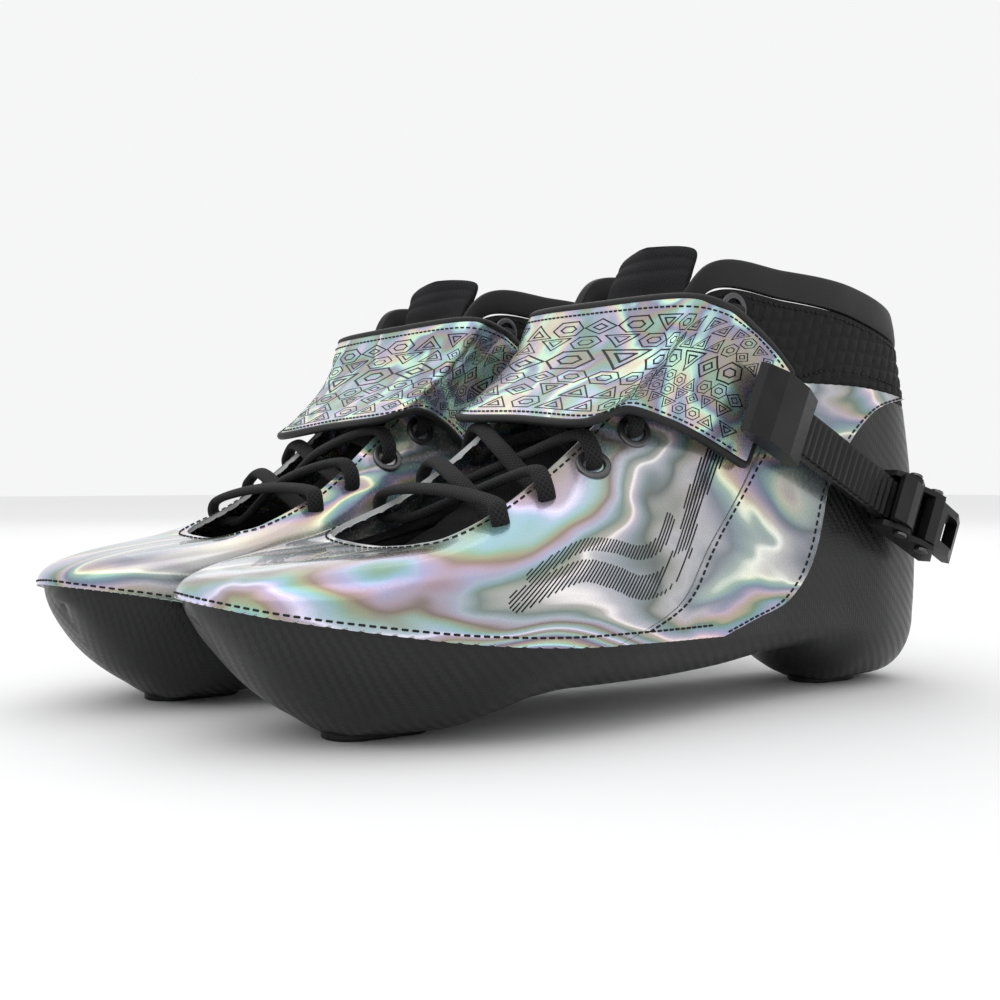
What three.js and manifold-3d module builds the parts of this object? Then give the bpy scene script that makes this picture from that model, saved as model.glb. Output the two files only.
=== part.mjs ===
// A pair of low-cut inline speed-skating boots, standing side by side with their toes along -Y.
// Millimetres, +Z up, floor at z = 0. Each boot is built as a left boot in its own frame (x towards the
// little toe, y towards the heel) and the right boot is its mirror image.
// The boot surface is a skin(u, v): u runs once round the boot from the toe tip over the outer side,
// the heel and the inner side, v runs from the feather line at the sole up to the throat or collar edge.
import * as THREE from "three";
import Module from "manifold-3d";

const wasm = await Module();
wasm.setup();

// ---- Driving dimensions -------------------------------------------------------------------------
const BOOT_LENGTH = 288;
const BALL_WIDTH = 91;
const COLLAR_HEIGHT = 147;
const PAIR_SPACING = 109;
const PAIR_STAGGER = -9.6;
const LEFT_TOE_IN = THREE.MathUtils.degToRad(2.3);
const RIGHT_TOE_IN = THREE.MathUtils.degToRad(1.2);

const GAP = 0.3; // clearance between neighbouring pieces
const SHELL_THICKNESS = 1.8;
const PANEL_THICKNESS = 1.4;
const LINER_THICKNESS = 3.2;
const FOOTBED_THICKNESS = 3.5;

const MOUNT_SPACING = 195; // two-point frame mount, front to rear bolt
const MOUNT_Y_FRONT = -86;
const INSERT_WIDTH = 18;
const INSERT_THICKNESS = 5;
const FRONT_INSERT_LENGTH = 34;
const REAR_INSERT_LENGTH = 28;
const BOLT_DIAMETER = 6.4;
const SOLE_CLEARANCE = 0.7; // shell above the floor, so the inserts take the load

const LACE_RADIUS = 2;
const LACE_TURN = 4.4; // radius of the half circle through an eyelet
const LACE_TURN_UNDER_STRAP = 3.6;
const LACE_RINGS = 168;
const LACE_DIP = 2.9; // clearance under the throat edge where the lace leaves an eyelet
const LACE_CROSS_LIFT = 2.9;
const LACE_CROSS_LIFT_UNDER_STRAP = -1.1;
const LACE_CROSS_GAP = 2.4;
const EYELET_HOLE = LACE_RADIUS + 1.4; // the hole follows the lace that runs through it
const EYELET_RADIUS = EYELET_HOLE + 2;
const EYELET_THICKNESS = 0.9;
const EYELET_SEAT = 0.9;

const STRAP_THICKNESS = 2.4;
const STRAP_LIFT = 2.3; // underside of the strap above the panels it lies on
const STRAP_CROWN = [0.5, 2.5]; // rise over the instep at the front and the rear edge

const LADDER_WIDTH = 15.5;
const LADDER_THICKNESS = 2.2;
const LADDER_TOOTH_PITCH = 3.2;
const LADDER_TOOTH_HEIGHT = 1.1;
const LADDER_EXPOSED = 52;
const CAP_LENGTH = 28;
const CAP_WIDTH = 24;
const CAP_HEIGHT = 8.5;
const CAP_LAP = 10;

const BUCKLE_LENGTH = 34;
const BUCKLE_BASE = 1.8;
const CHEEK_THICKNESS = 2;
const CHEEK_HEIGHT = 12;
const PIN_RADIUS = 1.5;
const PIN_CLEARANCE = 0.15;
const HEEL_STRAP_THICKNESS = 2;

// ---- The last: stations for a 288 mm boot, scaled to the driving dimensions ------------------------
const NOMINAL_LENGTH = 288;
const NOMINAL_WIDTH = 91;
const NOMINAL_HEIGHT = 147;
const SCALE = [BALL_WIDTH / NOMINAL_WIDTH, BOOT_LENGTH / NOMINAL_LENGTH, COLLAR_HEIGHT / NOMINAL_HEIGHT];

const FEATHER_OUTER = [
  [-14, -140, 42.5], [3, -137, 41.3], [19, -126, 38.5], [33, -106, 35], [42, -82, 31.2],
  [46.5, -54, 28.5], [44, -20, 27], [38.5, 14, 26], [34.5, 48, 25.5], [33, 82, 25.5],
  [31, 112, 25.5], [21, 137, 25.5], [0, 148, 25.5],
];
const FEATHER_INNER = [
  [-14, -140, 42.5], [-27, -134, 41.8], [-35.5, -121, 39.5], [-41.5, -103, 36], [-44.5, -80, 32.5],
  [-42.5, -52, 29], [-37.5, -18, 27], [-32.5, 16, 26], [-31, 50, 25.5], [-31, 82, 25.5],
  [-29.5, 112, 25.5], [-20, 137, 25.5], [0, 148, 25.5],
];
const EDGE_OUTER = [
  [-8, -80, 53], [3, -81, 53.5], [13, -80, 54.5], [20, -73, 57], [21, -56, 65],
  [21, -36, 78.5], [21, -15, 97], [23, 3, 119], [31, 20, 144.5], [32, 54, 145],
  [31, 88, 143], [23, 120, 136.5], [0, 135, 131],
];
const EDGE_INNER = [
  [-8, -80, 53], [-19, -83, 54], [-30, -83, 56], [-36, -76, 59], [-33, -56, 68],
  [-29, -36, 82], [-26, -15, 101], [-26, 3, 121], [-31, 22, 146], [-31, 56, 147],
  [-30, 88, 144.5], [-22, 120, 136.5], [0, 135, 131],
];
const RISE = [5, 7, 10, 14, 19, 25, 32, 36, 40, 40, 38, 34, 32]; // how far the side stands up from the feather
const FLARE = [1, 1.5, 2, 3, 3, 3, 3, 2, 1, 1, 2, 3, 3]; // and leans out
const REACH = [30, 27, 22, 18, 15, 14, 11, 7, 2, 1, 2, 5, 6]; // how flat the top comes in to the edge
const DROP = [1.5, 1.5, 2.5, 4, 7, 11, 20, 30, 40, 38, 36, 32, 30]; // and how steeply it rises to it
const KEEL_Y = [-137, -134, -124, -105, -82, -54, -20, 14, 48, 80, 110, 133, 146];
const KEEL = [
  [-137, 36], [-132, 27], [-122, 15], [-109, 6], [-99, SOLE_CLEARANCE], [-74, SOLE_CLEARANCE],
  [-64, 3.5], [-50, 8], [-33, 9.8], [0, 9.8], [30, 11], [55, 14], [72, 15],
  [84, 10], [91, 4], [96, SOLE_CLEARANCE], [130, SOLE_CLEARANCE], [138, 4], [147, 16],
];
const FLOOR = [
  [-137, 38], [-124, 25], [-105, 14], [-82, 10], [-54, 13], [-20, 16], [14, 17.5], [48, 19], [147, 21],
];
const STATIONS = 24; // stations round the boot, 12 on each side

const scaled = ([x, y, z]) => [x * SCALE[0], y * SCALE[1], z * SCALE[2]];
const wrapRound = (outer, inner) => [...outer, ...inner.slice(1, -1).reverse()];
const feather = wrapRound(FEATHER_OUTER, FEATHER_INNER).map(scaled);
const edge = wrapRound(EDGE_OUTER, EDGE_INNER).map(scaled);
const bothSides = (row, factor) => wrapRound(row, row).map((value) => value * factor);
const rise = bothSides(RISE, SCALE[2]);
const flare = bothSides(FLARE, SCALE[0]);
const reach = bothSides(REACH, SCALE[0]);
const drop = bothSides(DROP, SCALE[2]);

function blend4(p0, p1, p2, p3, t) {
  return 0.5 * (2 * p1 + (p2 - p0) * t + (2 * p0 - 5 * p1 + 4 * p2 - p3) * t ** 2
    + (3 * p1 - p0 - 3 * p2 + p3) * t ** 3);
}

// Catmull-Rom value of a closed table at u (0 to 1 is once round).
function around(table, u) {
  const n = table.length;
  const t = (((u % 1) + 1) % 1) * n;
  const i = Math.floor(t);
  const at = (k) => table[(i + k + n) % n];
  if (typeof table[0] === "number") return blend4(at(-1), at(0), at(1), at(2), t - i);
  return new THREE.Vector3(...[0, 1, 2].map((k) => blend4(at(-1)[k], at(0)[k], at(1)[k], at(2)[k], t - i)));
}

// Piecewise-linear value of an open table of [x, y] pairs.
function along(table, x) {
  const last = table.length - 1;
  if (x <= table[0][0]) return table[0][1];
  if (x >= table[last][0]) return table[last][1];
  const i = table.findIndex((row) => row[0] >= x);
  const t = (x - table[i - 1][0]) / (table[i][0] - table[i - 1][0]);
  return table[i - 1][1] + (table[i][1] - table[i - 1][1]) * t;
}

const up = new THREE.Vector3(0, 0, 1);
const station = (index) => index / STATIONS;

function outwards(u) {
  const step = 1e-3;
  const tangent = around(feather, u + step).sub(around(feather, u - step));
  return new THREE.Vector3(tangent.y, -tangent.x, 0).normalize();
}

function skin(u, v) {
  const foot = around(feather, u);
  const top = around(edge, u);
  const out = outwards(u);
  const low = foot.clone().addScaledVector(out, around(flare, u)).addScaledVector(up, around(rise, u));
  const high = top.clone().addScaledVector(out, around(reach, u)).addScaledVector(up, -around(drop, u));
  const w = 1 - v;
  return foot.multiplyScalar(w ** 3).addScaledVector(low, 3 * w * w * v)
    .addScaledVector(high, 3 * w * v * v).addScaledVector(top, v ** 3);
}

function skinNormal(u, v) {
  const step = 1e-3;
  const across = skin(u + step, v).sub(skin(u - step, v));
  const upwards = skin(u, v + step).sub(skin(u, v - step));
  return across.cross(upwards).normalize();
}

const onSkin = (u, v, offset) => skin(u, v).addScaledVector(skinNormal(u, v), offset);

// Keel station of the column at u: the same for the outer and inner column of one station.
function keelY(u) {
  const t = Math.min(u, 1 - u) * STATIONS;
  const i = Math.min(Math.floor(t), KEEL_Y.length - 2);
  return (KEEL_Y[i] + (KEEL_Y[i + 1] - KEEL_Y[i]) * (t - i)) * SCALE[1];
}

// The hull under the feather line: t = 0 at the feather line, t = 1 on the centre line of the sole.
function hull(u, t, inset, depth) {
  const out = outwards(u);
  const y = keelY(u) * (1 - inset / BOOT_LENGTH * 2);
  const centre = (around(feather, u).x + around(feather, 1 - u).x) / 2;
  const floor = along(depth, y / SCALE[1]) * SCALE[2];
  const low = new THREE.Vector3(centre, y, floor);
  const start = skin(u, 0).addScaledVector(out, -inset);
  const side = start.clone().addScaledVector(up, -0.55 * (start.z - floor));
  const across = start.clone().sub(low).setZ(0);
  const flat = low.clone().addScaledVector(across, 0.62);
  const w = 1 - t;
  return start.multiplyScalar(w ** 3).addScaledVector(side, 3 * w * w * t)
    .addScaledVector(flat, 3 * w * t * t).addScaledVector(low, t ** 3);
}

// ---- Closed solids from grids of points --------------------------------------------------------
function closedSolid(positions, indices) {
  const p = positions;
  const volume = indices.reduce((sum, _, k) => {
    if (k % 3) return sum;
    const [a, b, c] = [indices[k], indices[k + 1], indices[k + 2]].map((i) => p[i]);
    return sum + a.dot(b.clone().cross(c));
  }, 0);
  const order = volume < 0 ? [0, 2, 1] : [0, 1, 2];
  const faces = [];
  for (let k = 0; k < indices.length; k += 3) faces.push(...order.map((o) => indices[k + o]));
  const geometry = new THREE.BufferGeometry();
  geometry.setAttribute("position", new THREE.Float32BufferAttribute(p.flatMap((q) => q.toArray()), 3));
  geometry.setIndex(faces);
  return geometry;
}

// A solid between an outer and an inner grid of the same size. With rimLow false the first rows meet
// themselves on the centre line, so no rim is needed there.
function between(outer, inner, { wraps = false, rimLow = true } = {}) {
  const columns = outer.length;
  const rows = outer[0].length;
  const positions = [...outer.flat(), ...inner.flat()];
  const at = (i, j, side) => side * columns * rows + (i % columns) * rows + j;
  const indices = [];
  const quad = (a, b, c, d) => indices.push(a, b, c, a, c, d);
  const spans = wraps ? columns : columns - 1;
  for (let i = 0; i < spans; i += 1) {
    for (let j = 0; j < rows - 1; j += 1) {
      quad(at(i, j, 0), at(i + 1, j, 0), at(i + 1, j + 1, 0), at(i, j + 1, 0));
      quad(at(i, j + 1, 1), at(i + 1, j + 1, 1), at(i + 1, j, 1), at(i, j, 1));
    }
    const last = rows - 1;
    if (rimLow) quad(at(i + 1, 0, 0), at(i, 0, 0), at(i, 0, 1), at(i + 1, 0, 1));
    quad(at(i, last, 0), at(i + 1, last, 0), at(i + 1, last, 1), at(i, last, 1));
  }
  if (!wraps) {
    const end = columns - 1;
    for (let j = 0; j < rows - 1; j += 1) {
      quad(at(0, j, 0), at(0, j + 1, 0), at(0, j + 1, 1), at(0, j, 1));
      quad(at(end, j + 1, 0), at(end, j, 0), at(end, j, 1), at(end, j + 1, 1));
    }
  }
  return closedSolid(positions, indices);
}

const range = (count) => Array.from({ length: count }, (_, k) => k);

// A skin panel: place(a, b) gives [u, v] for a, b from 0 to 1.
function panel(place, columns, rows, low, high, wraps = false) {
  const count = wraps ? columns : columns + 1;
  const grid = (offset) => range(count).map((i) => range(rows + 1).map((j) => {
    const [u, v] = place(i / columns, j / rows);
    return onSkin(u, v, offset);
  }));
  return between(grid(high), grid(low), { wraps });
}

// ---- Solids joined and cut ---------------------------------------------------------------------
function toManifold(geometry) {
  const index = geometry.index ?? { array: range(geometry.attributes.position.count) };
  const position = geometry.attributes.position;
  const seen = new Map();
  const points = [];
  const remap = range(position.count).map((i) => {
    const point = [position.getX(i), position.getY(i), position.getZ(i)];
    const key = point.map((value) => Math.round(value * 1e4)).join();
    if (!seen.has(key)) {
      seen.set(key, points.length / 3);
      points.push(...point);
    }
    return seen.get(key);
  });
  const faces = [];
  for (let k = 0; k < index.array.length; k += 3) {
    const face = [0, 1, 2].map((o) => remap[index.array[k + o]]);
    if (new Set(face).size === 3) faces.push(...face);
  }
  const mesh = { numProp: 3, vertProperties: new Float32Array(points), triVerts: new Uint32Array(faces) };
  return new wasm.Manifold(new wasm.Mesh(mesh));
}

function toGeometry(manifold) {
  const mesh = manifold.getMesh();
  const geometry = new THREE.BufferGeometry();
  geometry.setAttribute("position", new THREE.BufferAttribute(new Float32Array(mesh.vertProperties), 3));
  geometry.setIndex(new THREE.BufferAttribute(new Uint32Array(mesh.triVerts), 1));
  return geometry;
}

const cut = (body, tools) => toGeometry(tools.reduce((m, tool) => m.subtract(toManifold(tool)), toManifold(body)));
const join = (bodies) => toGeometry(bodies.map(toManifold).reduce((m, body) => m.add(body)));

// A matrix whose z axis is the given direction.
function frameAt(origin, zAxis, xHint = new THREE.Vector3(0, 1, 0)) {
  const z = zAxis.clone().normalize();
  const x = xHint.clone().addScaledVector(z, -xHint.dot(z)).normalize();
  return new THREE.Matrix4().makeBasis(x, z.clone().cross(x), z).setPosition(origin);
}

function cylinder(radius, low, high, frame, sides = 12) {
  const geometry = new THREE.CylinderGeometry(radius, radius, high - low, sides);
  geometry.rotateX(Math.PI / 2).translate(0, 0, (low + high) / 2);
  return geometry.applyMatrix4(frame);
}

// ---- The shell -----------------------------------------------------------------------------------
const COLUMNS = 48;
const quiltLow = (u) => along([
  [6, 0.62], [8, 0.66], [8.9, 0.685], [9.7, 0.72], [10.3, 0.72], [11, 0.715], [12, 0.71],
], Math.min(u, 1 - u) * STATIONS);
const LAP = 0.045; // how far the panels reach over the piece beneath, as a share of v

function shellTop(u) {
  const rear = quiltLow(u) - LAP;
  return along([[0, 0.12], [5.5, 0.12], [9.2, rear], [12, rear]], Math.min(u, 1 - u) * STATIONS);
}

function carbonShell() {
  const sole = [1, 0.83, 0.64, 0.44, 0.22];
  const wall = [0, 0.5, 1];
  const column = (u, inset, depth) => [
    ...sole.map((t) => hull(u, t, inset, depth)),
    ...wall.map((share) => onSkin(u, share * shellTop(u), -inset)),
  ];
  const grid = (inset, depth) => range(COLUMNS).map((i) => column(i / COLUMNS, inset, depth));
  const body = between(grid(0, KEEL), grid(SHELL_THICKNESS, FLOOR), { wraps: true, rimLow: false });
  return cut(body, [insertShape(0, GAP), insertShape(1, GAP)]);
}

const insertLength = (which) => (which === 0 ? FRONT_INSERT_LENGTH : REAR_INSERT_LENGTH);
const insertY = (which) => MOUNT_Y_FRONT * SCALE[1] + which * MOUNT_SPACING;

function insertX(which) {
  const share = which === 0 ? 4 : 10;
  return (FEATHER_OUTER[share][0] + FEATHER_INNER[share][0]) / 2 * SCALE[0];
}

// The outline of a mounting insert, grown by a clearance.
function insertShape(which, growth) {
  const half = INSERT_WIDTH / 2 + growth;
  const straight = insertLength(which) / 2 - INSERT_WIDTH / 2;
  const outline = new THREE.Shape();
  outline.absarc(0, straight, half, 0, Math.PI);
  outline.absarc(0, -straight, half, Math.PI, 2 * Math.PI);
  outline.closePath();
  const below = growth > 0 ? 2 : 0;
  const depth = INSERT_THICKNESS + growth + below;
  const solid = new THREE.ExtrudeGeometry(outline, { depth, bevelEnabled: false, curveSegments: 8 });
  return solid.translate(insertX(which), insertY(which), -below);
}

function mountInsert(which) {
  const bore = new THREE.Matrix4().makeTranslation(insertX(which), insertY(which), 0);
  return cut(insertShape(which, 0), [cylinder(BOLT_DIAMETER / 2, -1, INSERT_THICKNESS + 1, bore)]);
}

function footbed() {
  const rows = [1, 0.9, 0.79, 0.68];
  const grid = (lift) => range(COLUMNS / 2).map((i) => rows.map((t) => {
    const point = hull(i / (COLUMNS / 2), t, SHELL_THICKNESS + 8, FLOOR);
    return point.addScaledVector(up, lift);
  }));
  return between(grid(GAP + FOOTBED_THICKNESS + 1), grid(GAP + 1), { wraps: true, rimLow: false });
}

// ---- The upper -------------------------------------------------------------------------------------
const PANEL_LOW = GAP + 0.3;
const PANEL_HIGH = PANEL_LOW + PANEL_THICKNESS;
const SEAM = [[0, 5.6], [0.12, 6.43], [0.24, 6.8], [0.3, 7.03], [0.44, 7.83], [0.63, 8.67], [1, 8.9]];
const REAR_EDGE = [
  [7.1, 0], [7.6, 0.04], [8.07, 0.075], [8.4, 0.14], [8.63, 0.22], [8.8, 0.3], [9.03, 0.4],
  [9.5, 0.52], [9.8, 0.58], [10.05, 0.62], [10.3, 0.65], [10.55, 0.672], [10.8, 0.69],
];
const THROAT_SHARE = 0.995;
const SEAM_TOP = 0.68;
const SEAM_GAP = 0.05; // in stations, about 0.8 mm

function vampTop(u) {
  const s = Math.min(u, 1 - u) * STATIONS;
  return along([[0, THROAT_SHARE], [6.8, THROAT_SHARE], [7.3, 0.9], [7.9, 0.7], [9, SEAM_TOP]], s);
}

const seamAt = (v) => along(SEAM, v);

// Over the toe the columns and the lowest rows fall on those of the shell beneath.
const SHELL_ROWS = [0, 0.06, 0.12];
const UPPER_ROWS = [0.3, 0.5, 0.7, 0.85, 1];

function upper() {
  const columns = 36;
  const aligned = 10;
  const half = columns / 2;
  const rows = SHELL_ROWS.length + UPPER_ROWS.length - 1;
  const place = (a, b) => {
    const k = Math.round(a * columns) - half;
    const j = Math.round(b * rows);
    const beyond = Math.max(0, Math.abs(k) - aligned) / (half - aligned);
    const start = Math.min(Math.abs(k), aligned) / 2;
    const low = SHELL_ROWS.at(-1);
    const rowIn = (top) => SHELL_ROWS[j] ?? low + (top - low) * UPPER_ROWS[j - SHELL_ROWS.length];
    const s = start + beyond * (seamAt(rowIn(SEAM_TOP)) - start);
    const topS = start + beyond * (seamAt(SEAM_TOP) - start);
    return [station(Math.sign(k) * s), rowIn(vampTop(station(topS)))];
  };
  const body = panel(place, columns, rows, PANEL_LOW, PANEL_HIGH);
  return cut(body, EYELETS.filter((e) => e.row < 6).map((e) => eyeletHole(e)));
}

function overlay(side) {
  const columns = 6;
  const rows = REAR_EDGE.length - 1;
  const place = (a, b) => {
    const k = Math.min(Math.round(b * rows), rows);
    const rear = REAR_EDGE[k];
    const share = k / rows;
    const frontV = share * SEAM_TOP;
    const front = [seamAt(frontV) + SEAM_GAP, frontV];
    const u = front[0] + (rear[0] - front[0]) * a;
    const v = front[1] + (rear[1] - front[1]) * a;
    return [station(side * u), v];
  };
  return panel(place, columns, rows, PANEL_LOW, PANEL_HIGH);
}

const CUFF_FRONT = 7.35;
const bandLow = (u) => along([[8, 0.93], [8.8, 0.92], [9.6, 0.91], [10.8, 0.885], [12, 0.875]],
  Math.min(u, 1 - u) * STATIONS);

function cuffPlace(low, high) {
  return (a, b) => {
    const u = station(CUFF_FRONT + (STATIONS - 2 * CUFF_FRONT) * a);
    const [bottom, top] = [low(u), high(u)];
    return [u, bottom + (top - bottom) * b];
  };
}

function ankleCuff() {
  const front = (u) => along([[CUFF_FRONT, 0.74], [8.2, 0.66], [9, 0.645]], Math.min(u, 1 - u) * STATIONS);
  const low = (u) => (Math.min(u, 1 - u) * STATIONS < 9 ? front(u) : quiltLow(u) - LAP + 0.006);
  const place = cuffPlace(low, (u) => bandLow(u) - 0.003);
  const body = panel(place, 26, 3, -SHELL_THICKNESS, -0.2);
  return cut(body, EYELETS.filter((e) => e.row === 6).map((e) => eyeletHole(e)));
}

const collarBand = () => panel(cuffPlace((u) => bandLow(u) + 0.003, () => 1), 26, 1, -SHELL_THICKNESS - 0.6, 0.3);

function linerTop(u) {
  return along([[0, 0.5], [3, 0.55], [7.5, 0.6], [8.8, 0.62], [9.6, 0.84]], Math.min(u, 1 - u) * STATIONS);
}

function liner() {
  const top = -SHELL_THICKNESS - GAP - 0.5;
  const low = 0.1;
  const place = (a, b) => [a, low + (linerTop(a % 1) - low) * b];
  return panel(place, COLUMNS, 3, top - LINER_THICKNESS, top, true);
}

// ---- Tongue -----------------------------------------------------------------------------------------
const spline = (points) => new THREE.CatmullRomCurve3(points, false, "centripetal");
const TONGUE_DEPTH = 12.8;
const TONGUE_THICKNESS = 3;
const TONGUE_REACH_IN = 0.05; // how far it tucks in under the throat edge, in v
const TONGUE_DOME = [[4.2, 2], [5, -1.5], [7.4, -2], [7.9, 1]]; // rise of its middle, pressed in under the strap

// Points across the boot at one station, from the inner to the outer side, at a depth under the skin.
function acrossThroat(s, depth, dome, reachIn) {
  const [outer, inner] = [station(s), station(-s)];
  const centre = onSkin(outer, 1, -depth).add(onSkin(inner, 1, -depth)).multiplyScalar(0.5);
  const lift = skinNormal(outer, 1).add(skinNormal(inner, 1)).normalize();
  return spline([
    onSkin(inner, 1 - reachIn, -depth - 0.6), onSkin(inner, 1, -depth),
    centre.addScaledVector(lift, dome),
    onSkin(outer, 1, -depth), onSkin(outer, 1 - reachIn, -depth - 0.6),
  ]);
}

function tongue() {
  const stations = [2.2, 2.7, 3.2, 3.8, 4.4, 5, 5.6, 6.2, 6.8, 7.4, 7.9];
  const columns = 8;
  const surface = (extra) => {
    const rows = stations.map((s) => (
      acrossThroat(s, TONGUE_DEPTH + extra, along(TONGUE_DOME, s), TONGUE_REACH_IN).getPoints(columns)
    ));
    const [last, previous] = [rows.at(-1), rows.at(-2)];
    for (const step of [5, 10]) {
      rows.push(last.map((point, k) => {
        const direction = point.clone().sub(previous[k]).normalize();
        const middle = 1 - Math.abs(2 * k / columns - 1);
        return point.clone().addScaledVector(direction, step * (0.5 + 0.5 * Math.sqrt(middle)));
      }));
    }
    return rows;
  };
  return between(surface(0), surface(TONGUE_THICKNESS));
}

// ---- Eyelets and lace ----------------------------------------------------------------------------
// Each row: station and v of the eyelet, station and v of the throat edge the lace goes over and its
// clearance there, then the radius and middle height of its turn through the eyelet.
const EYELET_PLACES = [
  [3.93, 0.84, 3.93, 0.985, 4, LACE_TURN, 1.6],
  [4.7, 0.82, 4.7, 0.985, 4, LACE_TURN, 1.6],
  [5.47, 0.82, 5.47, 0.985, 3.4, LACE_TURN, 1.6],
  [6.23, 0.81, 6.23, 0.985, 4.8, LACE_TURN, 1.6],
  [7, 0.8, 6.7, 0.985, 7.25, LACE_TURN_UNDER_STRAP, 1.4],
  [8.26, 0.87, 7.4, 0.9, 6.7, LACE_TURN, -0.4],
];
const EYELETS = [1, -1].flatMap((side) => (
  EYELET_PLACES.map(([s, v, edgeS, edgeV, over, turn, middle], k) => (
    { side, row: k + 1, s, v, edgeS, edgeV, over, turn, middle }
  ))
));

function eyeletFrame({ side, s, v, edgeS, edgeV }) {
  const u = station(side * s);
  const inwards = skin(station(side * edgeS), edgeV).sub(skin(u, v));
  return frameAt(skin(u, v), skinNormal(u, v), inwards);
}

const eyeletHole = (e) => cylinder(EYELET_HOLE, -6, 6, eyeletFrame(e), 10);

function eyeletRing(e) {
  const seat = (e.row === 6 ? 0 : PANEL_HIGH) + EYELET_SEAT;
  const frame = eyeletFrame(e);
  const disc = cylinder(EYELET_RADIUS, seat, seat + EYELET_THICKNESS, frame, 14);
  return cut(disc, [cylinder(EYELET_HOLE, seat - 1, seat + 2, frame, 10)]);
}

// The lace turns down through an eyelet on a half circle that starts and ends towards the throat.
function laceTurn(e) {
  const frame = eyeletFrame(e);
  const { turn, middle } = e;
  const lean = [90, 60, 30, 0, -30, -60, -90];
  return lean.map((degrees) => {
    const angle = THREE.MathUtils.degToRad(degrees);
    const inwards = turn * (1 - Math.cos(angle)) - 0.5;
    return new THREE.Vector3(inwards, 0, middle + turn * Math.sin(angle)).applyMatrix4(frame);
  });
}

const edgePoint = (e, height) => onSkin(station(e.side * e.edgeS), e.edgeV, height);

function strand(first, rows) {
  const points = [];
  rows.forEach((row, k) => {
    const side = (k % 2 ? -1 : 1) * first;
    const here = EYELETS.find((e) => e.side === side && e.row === row);
    const next = EYELETS.find((e) => e.side === -side && e.row === row + 1);
    points.push(...laceTurn(here));
    if (!next) return;
    const leave = edgePoint(here, -LACE_DIP - LACE_RADIUS);
    const arrive = edgePoint(next, next.over + LACE_RADIUS);
    const rise = row < 3 ? LACE_CROSS_LIFT : LACE_CROSS_LIFT_UNDER_STRAP;
    const cross = leave.clone().add(arrive).multiplyScalar(0.5);
    const lift = skinNormal(station(here.s), 1).add(skinNormal(station(-here.s), 1)).normalize();
    points.push(leave, cross.addScaledVector(lift, rise + side * LACE_CROSS_GAP), arrive);
  });
  return points;
}

function lacePoints() {
  const rows = [1, 2, 3, 4, 5, 6];
  const left = strand(1, rows);
  const right = strand(-1, rows);
  const bar = left[0].clone().add(right[0]).multiplyScalar(0.5).addScaledVector(up, 3);
  return [...left.reverse(), bar, ...right];
}

function tube(points, radius, sides) {
  const count = points.length;
  const tangent = (i) => points[Math.min(i + 1, count - 1)].clone().sub(points[Math.max(i - 1, 0)]).normalize();
  let side = new THREE.Vector3(0, 0, 1).cross(tangent(0)).normalize();
  const rings = points.map((point, i) => {
    const t = tangent(i);
    side = side.clone().addScaledVector(t, -side.dot(t)).normalize();
    const other = t.clone().cross(side);
    return range(sides).map((k) => {
      const angle = 2 * Math.PI * k / sides;
      return point.clone().addScaledVector(side, radius * Math.cos(angle))
        .addScaledVector(other, radius * Math.sin(angle));
    });
  });
  const positions = [...rings.flat(), points[0], points[count - 1]];
  const indices = [];
  for (let i = 0; i < count - 1; i += 1) {
    for (let k = 0; k < sides; k += 1) {
      const [a, b] = [i * sides + k, i * sides + (k + 1) % sides];
      indices.push(a, b, b + sides, a, b + sides, a + sides);
    }
  }
  const [start, end] = [count * sides, count * sides + 1];
  for (let k = 0; k < sides; k += 1) {
    indices.push(start, (k + 1) % sides, k);
    indices.push(end, (count - 1) * sides + k, (count - 1) * sides + (k + 1) % sides);
  }
  return closedSolid(positions, indices);
}

function lace() {
  return tube(spline(lacePoints()).getPoints(LACE_RINGS), LACE_RADIUS, 5);
}

// ---- Instep strap ----------------------------------------------------------------------------------
// Front and rear edge of the strap, each [station, v, extra lift in mm over the lace], from the inner end to the
// throat and from the throat to the outer end.
const STRAP_INNER = [
  [[-7.4, 0.42, 0], [-8.9, 0.52, 0]], [[-7.0, 0.6, 1], [-8.7, 0.68, 0.5]],
  [[-6.48, 0.77, 4.4], [-8.25, 0.81, 3]], [[-6.0, 0.9, 7.5], [-7.9, 0.88, 8.2]],
  [[-5.45, 0.985, 6.8], [-7.5, 0.98, 9.6]],
];
const STRAP_OUTER = [
  [[5.45, 0.985, 6.3], [7.5, 0.98, 8.2]], [[6.0, 0.9, 6.8], [7.9, 0.88, 7.0]],
  [[6.48, 0.77, 4.4], [8.25, 0.81, 3]], [[7.1, 0.63, 1], [8.52, 0.76, 0.8]],
  [[7.72, 0.47, 0], [8.72, 0.7, 0]],
];

function strapCurve(b, extra) {
  const mix = ([front, rear]) => {
    const [s, v, lift] = front.map((value, k) => value + (rear[k] - value) * b);
    return onSkin(station(s), v, PANEL_HIGH + STRAP_LIFT + lift + extra);
  };
  const inner = STRAP_INNER.map(mix);
  const outer = STRAP_OUTER.map(mix);
  const ridge = inner.at(-1).clone().add(outer[0]).multiplyScalar(0.5);
  const [front, rear] = STRAP_OUTER[0].map(([s]) => s);
  const s = station(front + (rear - front) * b);
  const lift = skinNormal(s, 1).add(skinNormal(-s, 1)).normalize();
  ridge.addScaledVector(lift, STRAP_CROWN[0] + (STRAP_CROWN[1] - STRAP_CROWN[0]) * b);
  return spline([...inner, ridge, ...outer]);
}

function instepStrap() {
  const [columns, rows] = [20, 3];
  const grid = (extra) => range(columns + 1).map((i) => range(rows + 1).map((j) => (
    strapCurve(j / rows, extra).getPoint(i / columns)
  )));
  return between(grid(STRAP_THICKNESS), grid(0));
}

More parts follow.
